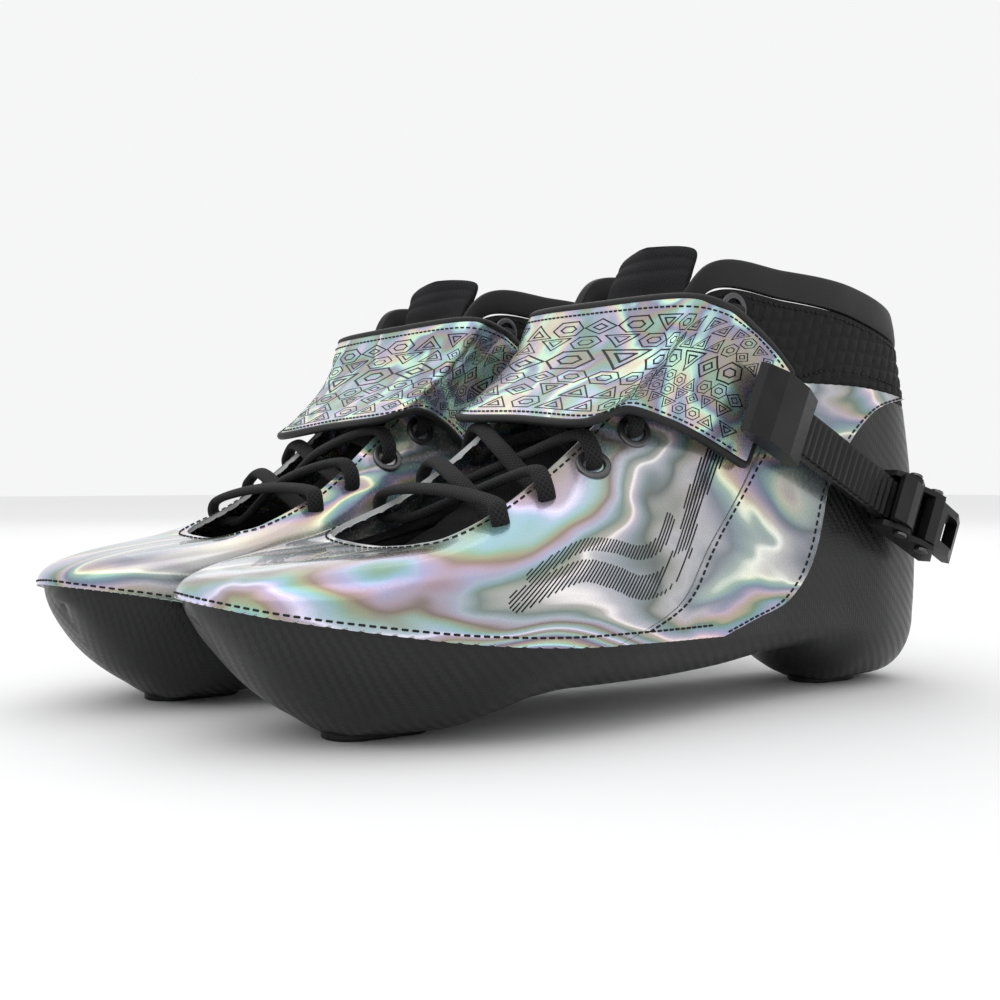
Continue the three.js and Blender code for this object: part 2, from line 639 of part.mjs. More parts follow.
// ---- Ladder and buckle: a straight line over the ankle, along which the ladder slides -----------------
const LADDER_START = onSkin(station(8.43), 0.542, 0);
const LADDER_END = onSkin(station(10.6), 0.261, 0);
const ladderAxis = LADDER_END.clone().sub(LADDER_START).normalize();
const ladderOut = skinNormal(station(9.6), 0.47);
ladderOut.addScaledVector(ladderAxis, -ladderOut.dot(ladderAxis)).normalize();
const ladderUp = ladderOut.clone().cross(ladderAxis);

// Height of everything under the ladder above its start point.
function ladderRest() {
  const samples = range(12).flatMap((i) => range(6).map((j) => [7.9 + 0.3 * i, 0.3 + 0.07 * j]));
  const heights = samples.map(([s, v]) => onSkin(station(s), v, PANEL_HIGH).sub(LADDER_START))
    .filter((offset) => Math.abs(offset.dot(ladderUp)) < LADDER_WIDTH / 2 + 1)
    .filter((offset) => Math.abs(offset.dot(ladderAxis) - LADDER_EXPOSED / 2) < LADDER_EXPOSED)
    .map((offset) => offset.dot(ladderOut));
  return Math.max(...heights) + HEEL_STRAP_THICKNESS + 2 * GAP;
}

// The buckle frame: x along the ladder towards the heel, y up across it, z away from the boot.
const buckleBase = LADDER_START.clone().addScaledVector(ladderOut, ladderRest());
const hardware = new THREE.Matrix4().makeBasis(ladderAxis, ladderUp, ladderOut).setPosition(buckleBase);
const LADDER_Z = BUCKLE_BASE + GAP;
const BUCKLE_X = LADDER_EXPOSED;
const INNER_HALF = LADDER_WIDTH / 2 + GAP;
const TOOTH_TOP = LADDER_Z + LADDER_THICKNESS + LADDER_TOOTH_HEIGHT;
const PIN_HEIGHT = 8.9;
const LEVER_PIN = [BUCKLE_X + 21, PIN_HEIGHT];
const PAWL_PIN = [BUCKLE_X + 7, PIN_HEIGHT];

function box(x0, x1, y0, y1, z0, z1) {
  const solid = new THREE.BoxGeometry(x1 - x0, y1 - y0, z1 - z0);
  return solid.translate((x0 + x1) / 2, (y0 + y1) / 2, (z0 + z1) / 2);
}

// A plate cut to an outline in x and z, from y0 to y1.
function sidePlate(points, y0, y1) {
  const outline = new THREE.Shape(points.map(([x, z]) => new THREE.Vector2(x, z)));
  const solid = new THREE.ExtrudeGeometry(outline, { depth: y1 - y0, bevelEnabled: false });
  return solid.rotateX(Math.PI / 2).translate(0, y1, 0);
}

function crossPin([x, z], y0, y1, radius, sides = 10) {
  const frame = frameAt(new THREE.Vector3(x, 0, z), new THREE.Vector3(0, 1, 0), new THREE.Vector3(1, 0, 0));
  return cylinder(radius, y0, y1, frame, sides);
}

const placed = (geometry) => geometry.applyMatrix4(hardware);

function ladderStrap() {
  const half = LADDER_WIDTH / 2;
  const end = BUCKLE_X + BUCKLE_LENGTH - 3;
  const bottom = LADDER_Z;
  const plate = box(-CAP_LAP, end, -half, half, bottom, bottom + LADDER_THICKNESS);
  const teeth = Math.floor((end - 3) / LADDER_TOOTH_PITCH);
  const profile = (x) => [
    [x, bottom + LADDER_THICKNESS - 0.2], [x + LADDER_TOOTH_PITCH * 0.8, bottom + LADDER_THICKNESS - 0.2],
    [x + LADDER_TOOTH_PITCH * 0.8, bottom + LADDER_THICKNESS + LADDER_TOOTH_HEIGHT],
    [x + LADDER_TOOTH_PITCH * 0.45, bottom + LADDER_THICKNESS + LADDER_TOOTH_HEIGHT],
  ];
  const ribs = range(teeth).map((k) => sidePlate(profile(2 + k * LADDER_TOOTH_PITCH), -half + 1, half - 1));
  return placed(join([plate, ...ribs]));
}

function strapEndCap() {
  const half = CAP_WIDTH / 2;
  const back = 2;
  const front = back - CAP_LENGTH;
  const low = LADDER_Z - 1;
  const top = LADDER_Z + CAP_HEIGHT - 2;
  const profile = [
    [front, low + 1.5], [front + 1.5, low + 4], [front + 8, top], [back - 9, top], [back, top - 3], [back, low],
    [front + 6, low],
  ];
  const body = sidePlate(profile, -half, half);
  // A bar turned 45 degrees trims the upper edge along each side.
  const corner = (side) => box(front - 1, back + 1, -2, 2, low - 1, top + 1)
    .rotateX(-side * Math.PI / 4).translate(0, side * (half + 1), top);
  const slot = box(-CAP_LAP - GAP, back + 1, -INNER_HALF, INNER_HALF, low - 1,
    LADDER_Z + LADDER_THICKNESS + LADDER_TOOTH_HEIGHT + GAP);
  return placed(cut(body, [slot, corner(1), corner(-1)]));
}

function buckleFrame() {
  const wall = INNER_HALF + 0.3;
  const [x0, x1] = [BUCKLE_X, BUCKLE_X + BUCKLE_LENGTH];
  const cheek = [
    [x0, 0], [x0, 6], [x0 + 3, 9.5], [x0 + 8, 11.5], [x0 + 14, 8.8], [x0 + 18, 11],
    [x0 + 23, CHEEK_HEIGHT], [x0 + 27, 9.5], [x1, 5], [x1, 0],
  ];
  const cheeks = [1, -1].map((side) => {
    const [near, far] = side > 0 ? [wall, wall + CHEEK_THICKNESS] : [-wall - CHEEK_THICKNESS, -wall];
    return sidePlate(cheek, near, far);
  });
  const base = box(x0, x1, -wall - 1, wall + 1, 0, BUCKLE_BASE);
  const holes = [LEVER_PIN, PAWL_PIN].map((pin) => crossPin(pin, -20, 20, PIN_RADIUS + PIN_CLEARANCE));
  const rivet = new THREE.Matrix4().makeTranslation(x1 - 4.5, 0, 0);
  return placed(cut(join([base, ...cheeks]), [...holes, cylinder(1.8, -1, BUCKLE_BASE + 1, rivet)]));
}

const leverHalf = INNER_HALF + 0.3 - GAP;

function buckleLever() {
  const [px, pz] = LEVER_PIN;
  const arm = [
    [px - 2.9, pz - 1], [px - 1.6, TOOTH_TOP + 0.7], [px + 2.6, TOOTH_TOP + 0.8], [px + 19, 5.4],
    [px + 20, 8], [px + 12, 12], [px + 1, pz + 3.8], [px - 3, pz + 2.6],
  ];
  const body = sidePlate(arm, -leverHalf, leverHalf);
  const window = box(px + 4.5, px + 15, -leverHalf + 2.8, leverHalf - 2.8, 0, 20);
  const bore = crossPin(LEVER_PIN, -20, 20, PIN_RADIUS + PIN_CLEARANCE);
  return placed(cut(body, [window, bore]));
}

function releaseTab() {
  const [px, pz] = PAWL_PIN;
  const profile = [
    [px - 8, 9], [px - 8.4, 11], [px - 3, 12.6], [px + 1.5, pz + 3.2], [px + 6, pz + 0.6],
    [px + 6.4, TOOTH_TOP + 0.3], [px + 4, TOOTH_TOP + 0.8], [px - 1.5, pz - 2.4], [px - 4, pz - 0.8],
  ];
  const bore = crossPin(PAWL_PIN, -20, 20, PIN_RADIUS + PIN_CLEARANCE);
  return placed(cut(sidePlate(profile, -leverHalf, leverHalf), [bore]));
}

function hingePin(pin) {
  const reachOut = INNER_HALF + 0.3 + CHEEK_THICKNESS;
  const shank = crossPin(pin, -reachOut - GAP, reachOut + GAP, PIN_RADIUS);
  const heads = [1, -1].map((side) => {
    const near = side * (reachOut + GAP - 0.05);
    const far = side * (reachOut + GAP + 1);
    return crossPin(pin, Math.min(near, far), Math.max(near, far), PIN_RADIUS + 0.9);
  });
  return placed(join([shank, ...heads]));
}

// ---- Heel strap, screw and pull tab ---------------------------------------------------------------------
const HEEL_STRAP_LOW = GAP;
const HEEL_STRAP_START = 9.95; // station of its outer end, under the buckle
const HEEL_STRAP_REACH = 3.6; // stations it runs round the heel
const HEEL_STRAP_BREADTH = 0.11; // in v, about 15 mm
const HEEL_SCREW_STATION = 13.2;
const PULL_TAB_THICKNESS = 1.6;
const heelStrapMiddle = (s) => along([[9.9, 0.4], [10.6, 0.32], [11.4, 0.29], [13.6, 0.3]], s);

function heelStrap() {
  const place = (a, b) => {
    const s = HEEL_STRAP_START + HEEL_STRAP_REACH * a;
    return [station(s), heelStrapMiddle(s) + HEEL_STRAP_BREADTH * (b - 0.5)];
  };
  return panel(place, 16, 2, HEEL_STRAP_LOW, HEEL_STRAP_LOW + HEEL_STRAP_THICKNESS);
}

function heelScrew() {
  const u = station(HEEL_SCREW_STATION);
  const seat = HEEL_STRAP_LOW + HEEL_STRAP_THICKNESS + GAP;
  const frame = frameAt(skin(u, 0.3), skinNormal(u, 0.3));
  const head = cylinder(3.4, seat, seat + 1.8, frame, 16);
  const socket = cylinder(1.5, seat + 0.8, seat + 3, frame, 6);
  return cut(head, [socket]);
}

function pullTab() {
  const place = (a, b) => [station(11.75 + 0.5 * a), 0.58 + 0.1 * b];
  return panel(place, 4, 3, GAP, GAP + PULL_TAB_THICKNESS);
}

// ---- Materials ---------------------------------------------------------------------------------------------
const FINISHES = {
  carbon: [0x1c1e20, 0.35, 0.3],
  foil: [0xc3c8cc, 0.22, 0.75],
  fabric: [0x141416, 0.85, 0],
  lining: [0x202124, 0.9, 0],
  cord: [0x0f1011, 0.8, 0],
  moulding: [0x18191b, 0.45, 0],
  steel: [0x55585c, 0.35, 0.95],
  black_steel: [0x222426, 0.4, 0.9],
  foam: [0x2a2b2e, 0.95, 0],
};

function piece(name, geometry, finish) {
  const [color, roughness, metalness] = FINISHES[finish];
  const mesh = new THREE.Mesh(geometry, new THREE.MeshStandardMaterial({ color, roughness, metalness }));
  mesh.name = name;
  return mesh;
}

const SOLIDS = [
  ["carbon_shell", carbonShell(), "carbon"],
  ["front_mount_insert", mountInsert(0), "black_steel"],
  ["rear_mount_insert", mountInsert(1), "black_steel"],
  ["footbed", footbed(), "foam"],
  ["upper", upper(), "foil"],
  ["outer_overlay", overlay(1), "foil"],
  ["inner_overlay", overlay(-1), "foil"],
  ["liner", liner(), "lining"],
  ["ankle_cuff", ankleCuff(), "fabric"],
  ["collar_band", collarBand(), "fabric"],
  ["tongue", tongue(), "lining"],
  ["lace", lace(), "cord"],
  ["instep_strap", instepStrap(), "foil"],
  ["strap_end_cap", strapEndCap(), "moulding"],
  ["ladder_strap", ladderStrap(), "moulding"],
  ["buckle_frame", buckleFrame(), "moulding"],
  ["buckle_lever", buckleLever(), "moulding"],
  ["release_tab", releaseTab(), "moulding"],
  ["lever_pin", hingePin(LEVER_PIN), "steel"],
  ["pawl_pin", hingePin(PAWL_PIN), "steel"],
  ["heel_strap", heelStrap(), "moulding"],
  ["heel_screw", heelScrew(), "steel"],
  ["pull_tab", pullTab(), "fabric"],
  ...EYELETS.filter((e) => [3, 4, 6].includes(e.row)).map((e) => (
    [`eyelet_${e.side > 0 ? "outer" : "inner"}_${e.row}`, eyeletRing(e), "steel"]
  )),
];

function boot(prefix) {
  const group = new THREE.Group();
  SOLIDS.forEach(([name, geometry, finish]) => group.add(piece(`${prefix}_${name}`, geometry, finish)));
  return group;
}

const left = boot("left");
left.position.set(PAIR_SPACING / 2, 0, 0);
left.rotation.z = -LEFT_TOE_IN;
const right = boot("right");
right.scale.x = -1;
right.position.set(-PAIR_SPACING / 2, PAIR_STAGGER, 0);
right.rotation.z = RIGHT_TOE_IN;

const pair = new THREE.Group();
pair.name = "speed_boots";
pair.add(left, right);
pair.updateMatrixWorld(true);
const bounds = new THREE.Box3().setFromObject(pair, true);
const middle = bounds.getCenter(new THREE.Vector3());
[left, right].forEach((one) => {
  one.position.x -= middle.x;
  one.position.y -= middle.y;
});

export default pair;
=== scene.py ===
"""Visual model of a pair of low-cut inline speed-skating boots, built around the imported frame.

Every soft or laminated piece is a numpy surface lofted over one skin, a function of a station round
the boot and a height up its side. Moulded hardware is a bevelled copy of its CAD solid. Shapes are
worked out in a boot's own millimetre frame and placed in the row frame in metres.
"""

import logging
import math
from dataclasses import dataclass, field
from enum import Enum
from typing import Sequence

import bmesh
import bpy
import numpy as np
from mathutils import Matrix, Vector


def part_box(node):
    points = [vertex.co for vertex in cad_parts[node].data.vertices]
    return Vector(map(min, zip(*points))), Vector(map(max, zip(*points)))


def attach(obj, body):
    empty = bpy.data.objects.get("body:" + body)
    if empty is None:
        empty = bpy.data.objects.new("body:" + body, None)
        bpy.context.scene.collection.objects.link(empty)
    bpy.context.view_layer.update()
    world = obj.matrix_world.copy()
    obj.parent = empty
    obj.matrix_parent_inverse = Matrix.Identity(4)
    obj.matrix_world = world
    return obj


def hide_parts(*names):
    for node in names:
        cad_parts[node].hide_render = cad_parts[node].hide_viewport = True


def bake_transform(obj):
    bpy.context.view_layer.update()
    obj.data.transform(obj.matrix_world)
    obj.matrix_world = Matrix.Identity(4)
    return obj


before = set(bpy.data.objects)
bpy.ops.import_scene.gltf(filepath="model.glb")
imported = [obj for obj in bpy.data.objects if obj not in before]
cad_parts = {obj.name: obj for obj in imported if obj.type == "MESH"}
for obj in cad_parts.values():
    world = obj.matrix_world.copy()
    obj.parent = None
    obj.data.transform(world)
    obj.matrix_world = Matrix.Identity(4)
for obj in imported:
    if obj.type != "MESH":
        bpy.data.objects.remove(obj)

LOG = logging.getLogger("speed_boots")
MILLIMETRE = 0.001
WELD = 2e-6
STATIONS = 24
SHARP_LOFTED, SHARP_MOULDED = 50, 38
ROUNDED_LOFTED, ROUNDED_MOULDED = 45, 22


class Side(Enum):
    """The wearer's foot that a boot is for: its sign mirrors the boot, its turn is the toe-in."""

    LEFT = ("left", 1.0, -2.3)
    RIGHT = ("right", -1.0, 1.2)

    @property
    def label(self) -> str:
        """The prefix of the boot's piece names."""
        return self.value[0]

    @property
    def sign(self) -> float:
        """1 for the left boot, -1 for its mirror image."""
        return self.value[1]

    @property
    def turn(self) -> float:
        """The toe-in about the vertical, in radians."""
        return math.radians(self.value[2])


# ---- The last -----------------------------------------------------------------------------------
def catmull_rom(a: np.ndarray, b: np.ndarray, c: np.ndarray, d: np.ndarray, t: np.ndarray) -> np.ndarray:
    """Uniform Catmull-Rom value at share t of the way from b to c."""
    return 0.5 * (2 * b + (c - a) * t + (2 * a - 5 * b + 4 * c - d) * t**2 + (3 * b - a - 3 * c + d) * t**3)


def hermite(knots: np.ndarray, values: np.ndarray, slopes: np.ndarray, x: np.ndarray) -> np.ndarray:
    """Cubic Hermite value at x through values with slopes, on uneven knots."""
    i = np.clip(np.searchsorted(knots, x, side="right") - 1, 0, len(knots) - 2)
    step = knots[i + 1] - knots[i]
    t = (x - knots[i]) / step
    return (values[i] * (1 + 2 * t) * (1 - t) ** 2 + slopes[i] * step * t * (1 - t) ** 2
            + values[i + 1] * t * t * (3 - 2 * t) + slopes[i + 1] * step * t * t * (t - 1))


def closed_spline(table: np.ndarray, u: np.ndarray) -> np.ndarray:
    """Closed Catmull-Rom curve through a table.

    Args:
        table: rows that are evenly spaced once round.
        u: places, where 0 to 1 is once round.

    Returns:
        The table's value at each place.
    """
    count = len(table)
    t = (np.asarray(u, float) % 1.0) * count
    i = np.floor(t).astype(int)
    f = t - i
    if table.ndim > 1:
        f = f[..., None]
    return catmull_rom(*(table[(i + k) % count] for k in (-1, 0, 1, 2)), f)


def smooth_table(rows: Sequence[Sequence[float]], x: np.ndarray) -> np.ndarray:
    """Value of an open table of (x, y) rows with no overshoot between them.

    Args:
        rows: the table, x rising.
        x: where to read it; outside its ends the end value holds.

    Returns:
        A cubic Hermite value whose slope at each row is the harmonic mean of its two neighbours'.
    """
    xs, ys = np.asarray(rows, float).T
    slope = np.diff(ys) / np.diff(xs)
    tangent = np.zeros(len(xs))
    product = slope[:-1] * slope[1:]
    total = np.where(np.abs(slope[:-1] + slope[1:]) < 1e-12, 1.0, slope[:-1] + slope[1:])
    tangent[1:-1] = np.where(product > 0, 2 * product / total, 0.0)
    tangent[0], tangent[-1] = slope[0], slope[-1]
    return hermite(xs, ys, tangent, np.clip(x, xs[0], xs[-1]))


def open_spline(points: np.ndarray, count: int) -> np.ndarray:
    """Uniform open Catmull-Rom curve.

    Args:
        points: control points, shape (..., n, 3); the curve passes through all.
        count: how many points to return.

    Returns:
        Points along the curve, shape (..., count, 3).
    """
    n = points.shape[-2]
    first = 2 * points[..., :1, :] - points[..., 1:2, :]
    last = 2 * points[..., -1:, :] - points[..., -2:-1, :]
    padded = np.concatenate([first, points, last], axis=-2)
    t = np.linspace(0, n - 1, count)
    i = np.minimum(t.astype(int), n - 2)
    return catmull_rom(*(padded[..., i + k, :] for k in range(4)), (t - i)[:, None])


def unit(vectors: np.ndarray) -> np.ndarray:
    """The vectors scaled to length 1."""
    return vectors / np.maximum(np.linalg.norm(vectors, axis=-1, keepdims=True), 1e-12)


def distances(points: np.ndarray) -> np.ndarray:
    """Distance along a line of points from its first to each of them."""
    return np.concatenate([[0], np.cumsum(np.linalg.norm(np.diff(points, axis=0), axis=-1))])


def round_angles(count: int) -> np.ndarray:
    """Evenly spaced angles once round, in radians."""
    return np.linspace(0, 2 * math.pi, count, endpoint=False)


def signed_power(values: np.ndarray, power: float) -> np.ndarray:
    """The values' sizes raised to a power, with their signs kept: squares off a sine wave."""
    return np.sign(values) * np.abs(values) ** power


def wrap_round(outer: Sequence, inner: Sequence) -> np.ndarray:
    """Joins the outer side's rows and the inner side's rows into one closed table."""
    return np.array([*outer, *list(inner)[1:-1][::-1]], float)


@dataclass
class Last:
    """The skin of the boot, in millimetres: columns of cubic Bezier curves round the foot."""

    feather_outer: tuple = (
        (-14, -140, 42.5), (3, -137, 41.3), (19, -126, 38.5), (33, -106, 35), (42, -82, 31.2),
        (46.5, -54, 28.5), (44, -20, 27), (38.5, 14, 26), (34.5, 48, 25.5), (33, 82, 25.5),
        (31, 112, 25.5), (21, 137, 25.5), (0, 148, 25.5))
    feather_inner: tuple = (
        (-14, -140, 42.5), (-27, -134, 41.8), (-35.5, -121, 39.5), (-41.5, -103, 36), (-44.5, -80, 32.5),
        (-42.5, -52, 29), (-37.5, -18, 27), (-32.5, 16, 26), (-31, 50, 25.5), (-31, 82, 25.5),
        (-29.5, 112, 25.5), (-20, 137, 25.5), (0, 148, 25.5))
    edge_outer: tuple = (
        (-8, -80, 53), (3, -81, 53.5), (13, -80, 54.5), (20, -73, 57), (21, -56, 65),
        (21, -36, 78.5), (21, -15, 97), (23, 3, 119), (31, 20, 144.5), (32, 54, 145),
        (31, 88, 143), (23, 120, 136.5), (0, 135, 131))
    edge_inner: tuple = (
        (-8, -80, 53), (-19, -83, 54), (-30, -83, 56), (-36, -76, 59), (-33, -56, 68),
        (-29, -36, 82), (-26, -15, 101), (-26, 3, 121), (-31, 22, 146), (-31, 56, 147),
        (-30, 88, 144.5), (-22, 120, 136.5), (0, 135, 131))
    rise: tuple = (5, 7, 10, 14, 19, 25, 32, 36, 40, 40, 38, 34, 32)
    flare: tuple = (1, 1.5, 2, 3, 3, 3, 3, 2, 1, 1, 2, 3, 3)
    reach: tuple = (30, 27, 22, 18, 15, 14, 11, 7, 2, 1, 2, 5, 6)
    drop: tuple = (1.5, 1.5, 2.5, 4, 7, 11, 20, 30, 40, 38, 36, 32, 30)
    keel_y: tuple = (-137, -134, -124, -105, -82, -54, -20, 14, 48, 80, 110, 133, 146)
    keel: tuple = (
        (-137, 36), (-132, 27), (-122, 15), (-109, 6), (-99, 0.9), (-86, 0.7), (-74, 0.9), (-64, 3.5),
        (-50, 8), (-33, 9.8), (0, 9.8), (30, 11), (55, 14), (72, 15), (84, 10), (91, 4), (98, 0.8),
        (113, 0.7), (130, 0.8), (138, 4), (147, 16))
    floor: tuple = (
        (-137, 38), (-124, 25), (-105, 14), (-82, 10), (-54, 13), (-20, 16), (14, 17.5), (48, 19), (147, 21))
    length: float = 288.0

    def __post_init__(self) -> None:
        """Joins the two sides into closed tables."""
        self.foot = wrap_round(self.feather_outer, self.feather_inner)
        self.edge = wrap_round(self.edge_outer, self.edge_inner)
        self.handles = [wrap_round(row, row) for row in (self.rise, self.flare, self.reach, self.drop)]
        self.keel_loop = wrap_round(self.keel_y, self.keel_y)

    def outwards(self, u: np.ndarray) -> np.ndarray:
        """Level direction away from the boot at u: the feather line's tangent turned a quarter."""
        tangent = closed_spline(self.foot, u + 1e-3) - closed_spline(self.foot, u - 1e-3)
        flat = np.stack([tangent[..., 1], -tangent[..., 0], np.zeros_like(tangent[..., 0])], -1)
        return unit(flat)

    def skin(self, u: np.ndarray, v: np.ndarray) -> np.ndarray:
        """Points of the skin.

        Args:
            u: place round the boot, 0 to 1 from the toe over the outer side.
            v: height, 0 at the feather line and 1 at the throat or collar edge.

        Returns:
            The cubic Bezier F w^3 + 3 A w^2 v + 3 B w v^2 + T v^3 with w = 1 - v, whose handle A is
            F moved out by the flare and up by the rise, and B is T moved out by the reach and down
            by the drop.
        """
        u, v = np.broadcast_arrays(np.asarray(u, float), np.asarray(v, float))
        rise, flare, reach, drop = (closed_spline(table, u)[..., None] for table in self.handles)
        low, top, out = closed_spline(self.foot, u), closed_spline(self.edge, u), self.outwards(u)
        up = np.array([0.0, 0.0, 1.0])
        v = v[..., None]
        w = 1 - v
        return (low * w**3 + 3 * (low + out * flare + up * rise) * w * w * v
                + 3 * (top + out * reach - up * drop) * w * v * v + top * v**3)

    def normal(self, u: np.ndarray, v: np.ndarray) -> np.ndarray:
        """Unit vectors out of the skin: the cross product of its two slopes."""
        step = 1e-3
        across = self.skin(u + step, v) - self.skin(u - step, v)
        upwards = self.skin(u, np.asarray(v) + step) - self.skin(u, np.asarray(v) - step)
        return unit(np.cross(across, upwards))

    def at(self, s: np.ndarray, v: np.ndarray, offset: np.ndarray = 0.0) -> np.ndarray:
        """Points at signed stations s, heights v and distances offset out of the skin."""
        u = np.asarray(s, float) / STATIONS
        return self.skin(u, v) + self.normal(u, v) * np.asarray(offset, float)[..., None]

    def hull(self, u: np.ndarray, t: np.ndarray, inset: float, depth: tuple) -> np.ndarray:
        """Points of the sole under the feather line.

        Args:
            u: place round the boot.
            t: 0 at the feather line, 1 on the centre line of the sole.
            inset: distance inwards from the outer hull.
            depth: table of the centre line's height along the boot.

        Returns:
            A cubic Bezier from the feather line down its side and flat in to the centre line.
        """
        out = self.outwards(u)
        y = closed_spline(self.keel_loop, u) * (1 - 2 * inset / self.length)
        centre = (closed_spline(self.foot, u)[..., 0] + closed_spline(self.foot, 1 - u)[..., 0]) / 2
        bottom = smooth_table(depth, y)
        low = np.stack([centre, y, bottom], -1)
        start = self.skin(u, np.zeros_like(u)) - out * inset
        side = start.copy()
        side[..., 2] -= 0.55 * (start[..., 2] - bottom)
        flat = low + (start - low) * np.array([0.62, 0.62, 0.0])
        t = t[..., None]
        w = 1 - t
        return start * w**3 + 3 * side * w * w * t + 3 * flat * w * t * t + low * t**3


LAST = Last()
SEAM = ((0, 5.6), (0.12, 6.43), (0.24, 6.8), (0.3, 7.03), (0.44, 7.83), (0.63, 8.67), (1, 8.9))
REAR_EDGE = np.array([
    (7.1, 0), (7.6, 0.04), (8.07, 0.075), (8.4, 0.14), (8.63, 0.22), (8.8, 0.3), (9.03, 0.4),
    (9.5, 0.52), (9.8, 0.58), (10.05, 0.62), (10.3, 0.65), (10.55, 0.672), (10.8, 0.69)], float)
QUILT_LOW = ((6, 0.62), (8, 0.66), (8.9, 0.685), (9.7, 0.72), (10.3, 0.72), (11, 0.715), (12, 0.71))
BAND_LOW = ((8, 0.93), (8.8, 0.92), (9.6, 0.91), (10.8, 0.885), (12, 0.875))
LINER_TOP = ((0, 0.5), (3, 0.55), (7.5, 0.6), (8.8, 0.62), (9.6, 0.84), (12, 0.84))
SEAM_TOP = 0.68
SEAM_GAP = 0.05
LAP = 0.045
PANEL_LOW = 0.6
PANEL_HIGH = 2.0
CUFF_FRONT = 7.35


def side_station(s: np.ndarray) -> np.ndarray:
    """Station counted from the toe on either side, 0 to 12."""
    turned = np.asarray(s, float) % STATIONS
    return np.minimum(turned, STATIONS - turned)


# ---- Meshes --------------------------------------------------------------------------------------
@dataclass
class Solid:
    """A closed mesh in a boot's frame, with a flat map in millimetres and a finish per face."""

    points: np.ndarray
    faces: list
    corners: np.ndarray
    finish: np.ndarray


def sheet(g: np.ndarray) -> np.ndarray:
    """Quads of a grid of indices."""
    return np.stack([g[:-1, :-1], g[1:, :-1], g[1:, 1:], g[:-1, 1:]], -1).reshape(-1, 4)


def between(outer: np.ndarray, inner: np.ndarray, chart: np.ndarray, wraps: bool = False) -> Solid:
    """Closed solid between two grids of the same size.

    Args:
        outer: outer surface, shape (columns, rows, 3).
        inner: inner surface of the same shape.
        chart: flat map of the grid, shape (columns, rows, 2), with one more column if it wraps.
        wraps: True if the last column joins the first.

    Returns:
        The solid; rim faces have finish 1 and the two surfaces finish 0.
    """
    columns, rows = outer.shape[:2]
    spans = columns + 1 if wraps else columns
    i, j = np.meshgrid(np.arange(spans), np.arange(rows), indexing="ij")
    near = (i % columns) * rows + j
    far = near + columns * rows
    flat = i * rows + j

    def strip(a: np.ndarray, b: np.ndarray) -> np.ndarray:
        """Quads between two lines of indices."""
        return np.stack([a[:-1], a[1:], b[1:], b[:-1]], -1)

    parts = [(sheet(near), sheet(flat), 0), (sheet(far)[:, ::-1], sheet(flat)[:, ::-1], 0)]
    lines = [(np.s_[:, 0], True), (np.s_[:, -1], False)]
    if not wraps:
        lines += [(np.s_[0, :], False), (np.s_[-1, :], True)]
    for line, turned in lines:
        quads, map_quads = strip(near[line], far[line]), strip(flat[line], flat[line])
        if turned:
            quads, map_quads = quads[:, ::-1], map_quads[:, ::-1]
        parts.append((quads[:, ::-1], map_quads[:, ::-1], 1))
    faces = np.concatenate([p[0] for p in parts])
    corners = chart.reshape(-1, 2)[np.concatenate([p[1] for p in parts]).ravel()]
    finish = np.concatenate([np.full(len(p[0]), p[2]) for p in parts])
    points = np.concatenate([outer.reshape(-1, 3), inner.reshape(-1, 3)])
    return Solid(points, faces.tolist(), corners, finish)


def tube(rings: np.ndarray, along: np.ndarray, around: float, wraps: bool = False) -> Solid:
    """Closed solid through rings of points.

    Args:
        rings: shape (count, sides, 3).
        along: distance of each ring from the first, in millimetres.
        around: girth of a ring, in millimetres.
        wraps: True if the last ring joins the first.

    Returns:
        The solid, with its ends closed by one face each unless it wraps.
    """
    count, sides = rings.shape[:2]
    spans = count + 1 if wraps else count
    i, k = np.meshgrid(np.arange(spans), np.arange(sides + 1), indexing="ij")
    index = (i % count) * sides + k % sides
    flat = i * (sides + 1) + k
    length = np.append(along, along[-1] + along[1]) if wraps else along
    chart = np.stack([np.repeat(length, sides + 1), np.tile(np.linspace(0, around, sides + 1), spans)], -1)
    faces = sheet(index).tolist()
    corners = [chart[sheet(flat).ravel()]]
    if not wraps:
        faces += [list(range(sides)), list(range((count - 1) * sides, count * sides))[::-1]]
        corners.append(np.tile(chart[0], (sides, 1)))
        corners.append(np.tile(chart[-1], (sides, 1)))
    return Solid(rings.reshape(-1, 3), faces, np.concatenate(corners), np.zeros(len(faces), int))


def capped_runs(points: np.ndarray) -> Solid:
    """Many closed solids in one.

    Args:
        points: shape (solids, rings, sides, 3); each solid runs through its rings.

    Returns:
        The solid, with every run closed by one face at each end and no flat map.
    """
    count, rings, sides = points.shape[:3]
    k = np.arange(sides)
    quads = np.concatenate([
        np.stack([r * sides + k, r * sides + (k + 1) % sides, (r + 1) * sides + (k + 1) % sides,
                  (r + 1) * sides + k], -1) for r in range(rings - 1)])
    base = np.arange(count)[:, None] * rings * sides
    faces = (quads[None] + base[..., None]).reshape(-1, 4).tolist()
    faces += (base + k[::-1]).tolist() + (base + (rings - 1) * sides + k).tolist()
    corners = np.zeros((count * (4 * len(quads) + 2 * sides), 2))
    return Solid(points.reshape(-1, 3), faces, corners, np.zeros(len(faces), int))


def bars(top: np.ndarray, low: np.ndarray) -> Solid:
    """Closed bars from top and bottom points of shape (bars, steps, 2, 3)."""
    return capped_runs(np.stack([top[:, :, 0], top[:, :, 1], low[:, :, 1], low[:, :, 0]], 2))


def without_rim(solid: Solid, columns: int) -> Solid:
    """Drops a wrapped solid's first rim, at the keel, where the two halves of a surface meet."""
    keep = np.ones(len(solid.faces), bool)
    keep[np.flatnonzero(solid.finish == 1)[:columns]] = False
    faces = [face for face, kept in zip(solid.faces, keep) if kept]
    corners = solid.corners.reshape(-1, 4, 2)[keep].reshape(-1, 2)
    return Solid(solid.points, faces, corners, np.zeros(len(faces), int))


